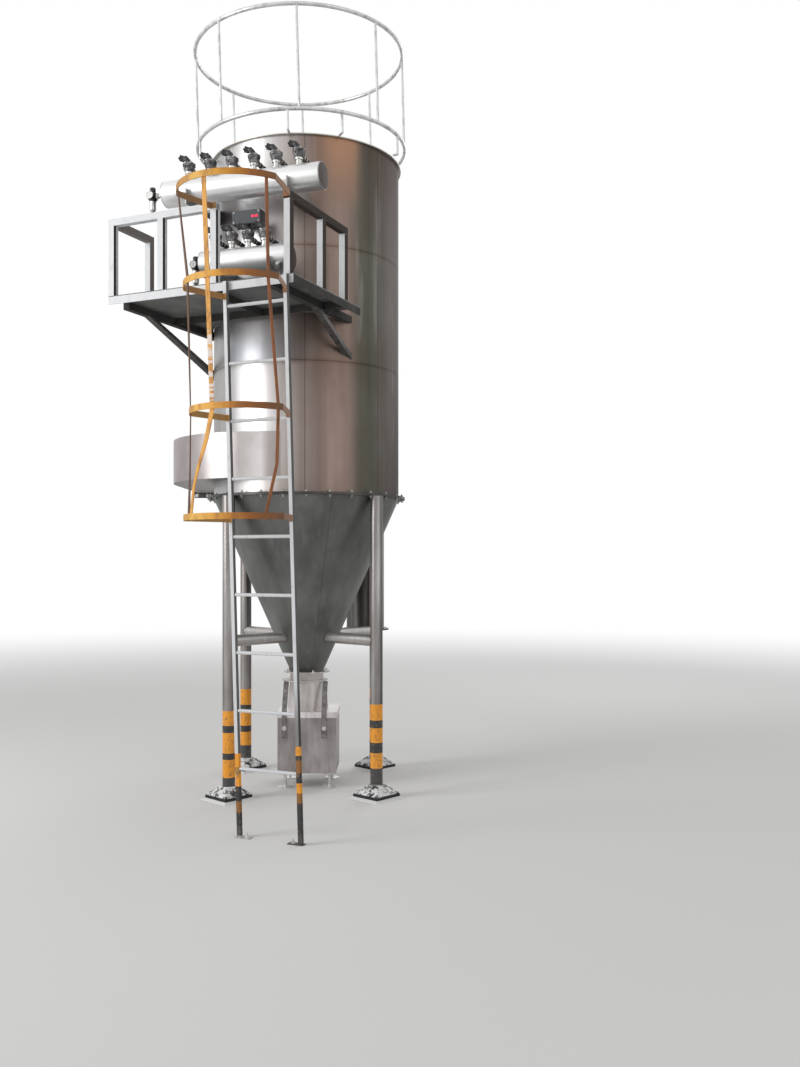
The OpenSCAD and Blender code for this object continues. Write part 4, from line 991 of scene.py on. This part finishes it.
black_plastic = finish("black_plastic", (0.030, 0.031, 0.034), 0.42)
drain_slope = math.radians(40)
drain_aim = (to_row @ Vector((0, -math.cos(drain_slope), -math.sin(drain_slope)))).normalized()
drain_foot = Vector(on_row(0.187, header_y, lower_z)) + drain_aim * (header_r - 0.002)
drain = bmesh.new()
lathe(drain, [(0, 0), (0.010, 0), (0.010, 0.010), (0.014, 0.011), (0.014, 0.024), (0.010, 0.026),
              (0.010, 0.036), (0.013, 0.037), (0.013, 0.046), (0, 0.046)], drain_foot, drain_aim, 16)
finished("drain_cock", drain, zinc)
lever = bmesh.new()
lever_foot = drain_foot + drain_aim * 0.018
bar(lever, lever_foot, lever_foot + to_row @ Vector((0.018, -0.004, 0.0)), 0.006, 12)
block(lever, (0.006, 0.011, 0.062), lever_foot + to_row @ Vector((0.021, -0.004, -0.024)), to_row, 0.002)
finished("drain_lever", lever, black_plastic)

# Pulse valves
# A right-angle diaphragm valve is screwed on each outlet of a header: a cast body with a bolted
# bonnet and a moulded coil on top. A rubber hose with clamps leads from its side to the shell.
valve_body = patchy("valve_body", (0.24, 0.235, 0.23), 0.42, 0.4, 0.03, [
    (0.35, (0.050, 0.048, 0.050)), (0.54, (0.17, 0.165, 0.168)), (0.76, (0.52, 0.51, 0.51))])
rubber = finish("hose_rubber", (0.028, 0.028, 0.029), 0.6)
dress(rubber, "hose_rubber", "blow_pipes")


def valve_row(name, node, count, middle, pitch, z):
    bodies, stubs, coils, clamps = (bmesh.new() for _ in range(4))
    bonnet_bolts = []
    for i in range(count):
        x = middle + (i - (count - 1) / 2) * pitch
        foot = Vector(on_row(x, header_y, z))
        back = to_row @ Vector((0, 1, 0))
        lathe(stubs, [(0, 0.073), (0.022, 0.073), (0.022, 0.079), (0.0165, 0.084), (0.0165, 0.106),
                      (0.024, 0.107), (0.024, 0.120), (0, 0.120)], foot, sides=20)
        lathe(bodies, [(0, 0.116), (0.022, 0.116), (0.027, 0.120), (0.029, 0.128), (0.030, 0.146),
                       (0.037, 0.150), (0.038, 0.152), (0.038, 0.1575), (0.0365, 0.158),
                       (0.0365, 0.159), (0.038, 0.1595), (0.038, 0.1645), (0.036, 0.167),
                       (0.026, 0.171), (0.024, 0.177), (0.013, 0.179), (0.013, 0.186),
                       (0, 0.186)], foot)
        side = foot + Vector((0, 0, 0.138))
        lathe(bodies, [(0, 0.018), (0.021, 0.018), (0.021, 0.036), (0.0185, 0.037), (0.0185, 0.044),
                       (0, 0.044)], side, back, 24)
        for k in range(6):
            a = math.radians(60 * k + 12)
            arm = to_row @ Vector((math.cos(a), math.sin(a), 0))
            bonnet_bolts.append((tuple(foot + arm * 0.0325 + Vector((0, 0, 0.1655))), (0, 0, 1)))
            block(bodies, (0.024, 0.005, 0.014), foot + arm * 0.022 + Vector((0, 0, 0.142)),
                  Matrix.Rotation(a + header_turn, 3, "Z"))
        tip = Vector((0, 0, 0.176))
        lean = (to_row @ Vector((-0.66, -0.16, 0.73))).normalized()
        lathe(coils, [(0, 0), (0.0075, 0), (0.0075, 0.006), (0.017, 0.008), (0.0175, 0.012), (0.0175, 0.038),
                      (0.016, 0.041), (0.006, 0.042), (0.006, 0.047), (0, 0.047)], foot + tip, lean, 20)
        coil = foot + tip + lean * 0.024
        aside = to_row @ Vector((-0.80, -0.30, 0.22))
        turn = aside.to_track_quat("X", "Z").to_matrix()
        block(coils, (0.030, 0.022, 0.024), coil + aside * 0.026, turn, 0.003)
        bar(coils, coil + aside * 0.038, coil + aside * 0.055 + Vector((0, 0, -0.002)), 0.006, 12)
        reach = -header_y - math.sqrt(shell_r ** 2 - x ** 2)
        for at in (0.052, 0.083, reach - 0.024):
            lathe(clamps, [(0.0145, 0), (0.0170, 0), (0.0170, 0.009), (0.0145, 0.009), (0.0145, 0)],
                  side + back * at, back, 24)
            screw = side + back * (at + 0.0045) + Vector((0, 0, 0.0185))
            block(clamps, (0.010, 0.008, 0.007), screw, to_row, 0.001)
        lathe(stubs, [(0.0145, 0), (0.026, 0), (0.026, 0.004), (0.0145, 0.006), (0.0145, 0)],
              side + back * (reach - 0.004), -back, 24)
    finished(name + "_bodies", bodies, valve_body, hides=(node,))
    finished(name + "_stubs", stubs, zinc)
    finished(name + "_coils", coils, black_plastic)
    finished(name + "_hose_clamps", clamps, zinc)
    fasten(name + "_bonnet_bolts", bonnet_bolts, 0.008, 0.004, 0.0008, 0.0)


valve_row("upper_valve", "upper_valves", 6, -0.070, 0.142, upper_z)
valve_row("lower_valve", "lower_valves", 4, -0.090, 0.106, lower_z)

# Air regulators
# At the left end of each header sits a filter regulator: a cast body with a knob on top, a
# bright bowl below and a small dial gauge at the front.
dial_white = finish("dial_white", (0.86, 0.86, 0.84), 0.30)


def regulator(name, end, z, hides=(), reach=0.082, longer=0.0):
    body, bowl, dial, trim = (bmesh.new() for _ in range(4))
    centre = Vector(on_row(end - reach, header_y, z))
    front, right, down = to_row @ Vector((0, -1, 0)), to_row @ Vector((1, 0, 0)), (0, 0, -1)
    block(body, (0.046, 0.044, 0.044), centre, to_row, 0.004)
    lathe(body, [(0, 0.020), (0.016, 0.020), (0.016, 0.026), (0.018, 0.028), (0.0175, 0.047), (0.015, 0.052),
                 (0, 0.052)], centre, sides=20)
    lathe(body, [(0, 0.022), (0.021, 0.022), (0.021, 0.032), (0, 0.032)], centre, down, 24)
    low = 0.094 + longer
    lathe(bowl, [(0, 0.032), (0.0195, 0.032), (0.0195, low - 0.016), (0.016, low - 0.006), (0.009, low),
                 (0, low)], centre, down, 24)
    lathe(body, [(0, low - 0.001), (0.007, low - 0.001), (0.007, low + 0.008), (0, low + 0.008)],
          centre, down, 12)
    bar(bowl, centre + to_row @ Vector((0.020, 0, 0)), on_row(end + 0.002, header_y, z), 0.010)
    lathe(bowl, [(0, 0.028), (0.016, 0.028), (0.016, 0.042), (0, 0.042)], centre, right, 6)
    bar(bowl, centre + front * 0.020, centre + front * 0.030, 0.006)
    lathe(trim, [(0, 0.026), (0.018, 0.026), (0.022, 0.029), (0.022, 0.038), (0.0195, 0.038),
                 (0.0195, 0.0355), (0, 0.0355)], centre, front, 32)
    lathe(dial, [(0, 0.035), (0.0192, 0.035), (0.0192, 0.0362), (0, 0.0362)], centre, front, 32)
    block(trim, (0.0015, 0.0012, 0.015), centre + front * 0.0365 + to_row @ Vector((0.002, 0, 0.003)),
          to_row @ Matrix.Rotation(math.radians(35), 3, "Y"))
    finished(name + "_body", body, black_plastic, hides=hides)
    finished(name + "_bowl", bowl, zinc)
    finished(name + "_dial", dial, dial_white)
    finished(name + "_rim", trim, saddle_steel)


regulator("upper_regulator", upper_left, upper_z, hides=("air_regulators",))
regulator("lower_regulator", lower_left, lower_z, reach=0.040, longer=0.022)

# Control box
# A dark moulded box with a screwed lid and two red windows times the pulses. Cable glands stand
# along its underside.
box_paint = finish("box_paint", (0.050, 0.053, 0.062), 0.42)
dress(box_paint, "box_paint", "control_box")
box_left, box_right, box_front, box_foot, box_top = -0.145, 0.035, -0.770, 3.430, 3.508
lid = bmesh.new()
block(lid, (box_right - box_left + 0.003, 0.014, box_top - box_foot + 0.003),
      on_row((box_left + box_right) / 2, box_front + 0.004, (box_foot + box_top) / 2), to_row, 0.003)
for gland in range(5):
    lathe(lid, [(0, -0.004), (0.009, -0.004), (0.009, 0.010), (0.007, 0.012), (0.007, 0.020),
                (0.004, 0.022), (0, 0.022)],
          on_row(-0.123 + 0.035 * gland, box_front + 0.035, box_foot), (0, 0, -1), 14)
finished("control_box_lid", lid, box_paint)
lamp_red = finish("lamp_red", (0.75, 0.02, 0.05), 0.25)
glow = lamp_red.node_tree.nodes["Principled BSDF"].inputs
glow["Emission Color"].default_value = (1.0, 0.03, 0.10, 1)
glow["Emission Strength"].default_value = 0.9
windows = bmesh.new()
for x in (-0.012, 0.012):
    block(windows, (0.017, 0.004, 0.013), on_row(x, box_front - 0.0035, box_foot + 0.040), to_row, 0.001)
finished("control_box_windows", windows, lamp_red)
lid_screws = [(on_row(x, box_front - 0.003, z), on_row(0, -1, 0))
              for x in (box_left + 0.010, box_right - 0.010) for z in (box_foot + 0.010, box_top - 0.010)]
fasten("control_box_screws", lid_screws, 0.007, 0.002, 0.0006, 0.0, made=dull_zinc)

# Roof guard rail
# Two rings of bent tube on thin posts guard the roof. They are welded together and painted
# silver, and the paint has gone blotchy.
rail_steel = patchy("rail_steel", (0.74, 0.75, 0.75), 0.34, 0.5, 0.04, [
    (0.30, (0.44, 0.44, 0.43)), (0.50, (0.72, 0.73, 0.73)), (0.75, (0.84, 0.85, 0.85))], (1, 1, 0.5), 5)
dress(rail_steel, "rail_steel", "guard_ring_top", "guard_ring_low", "guard_posts", "guard_stubs")
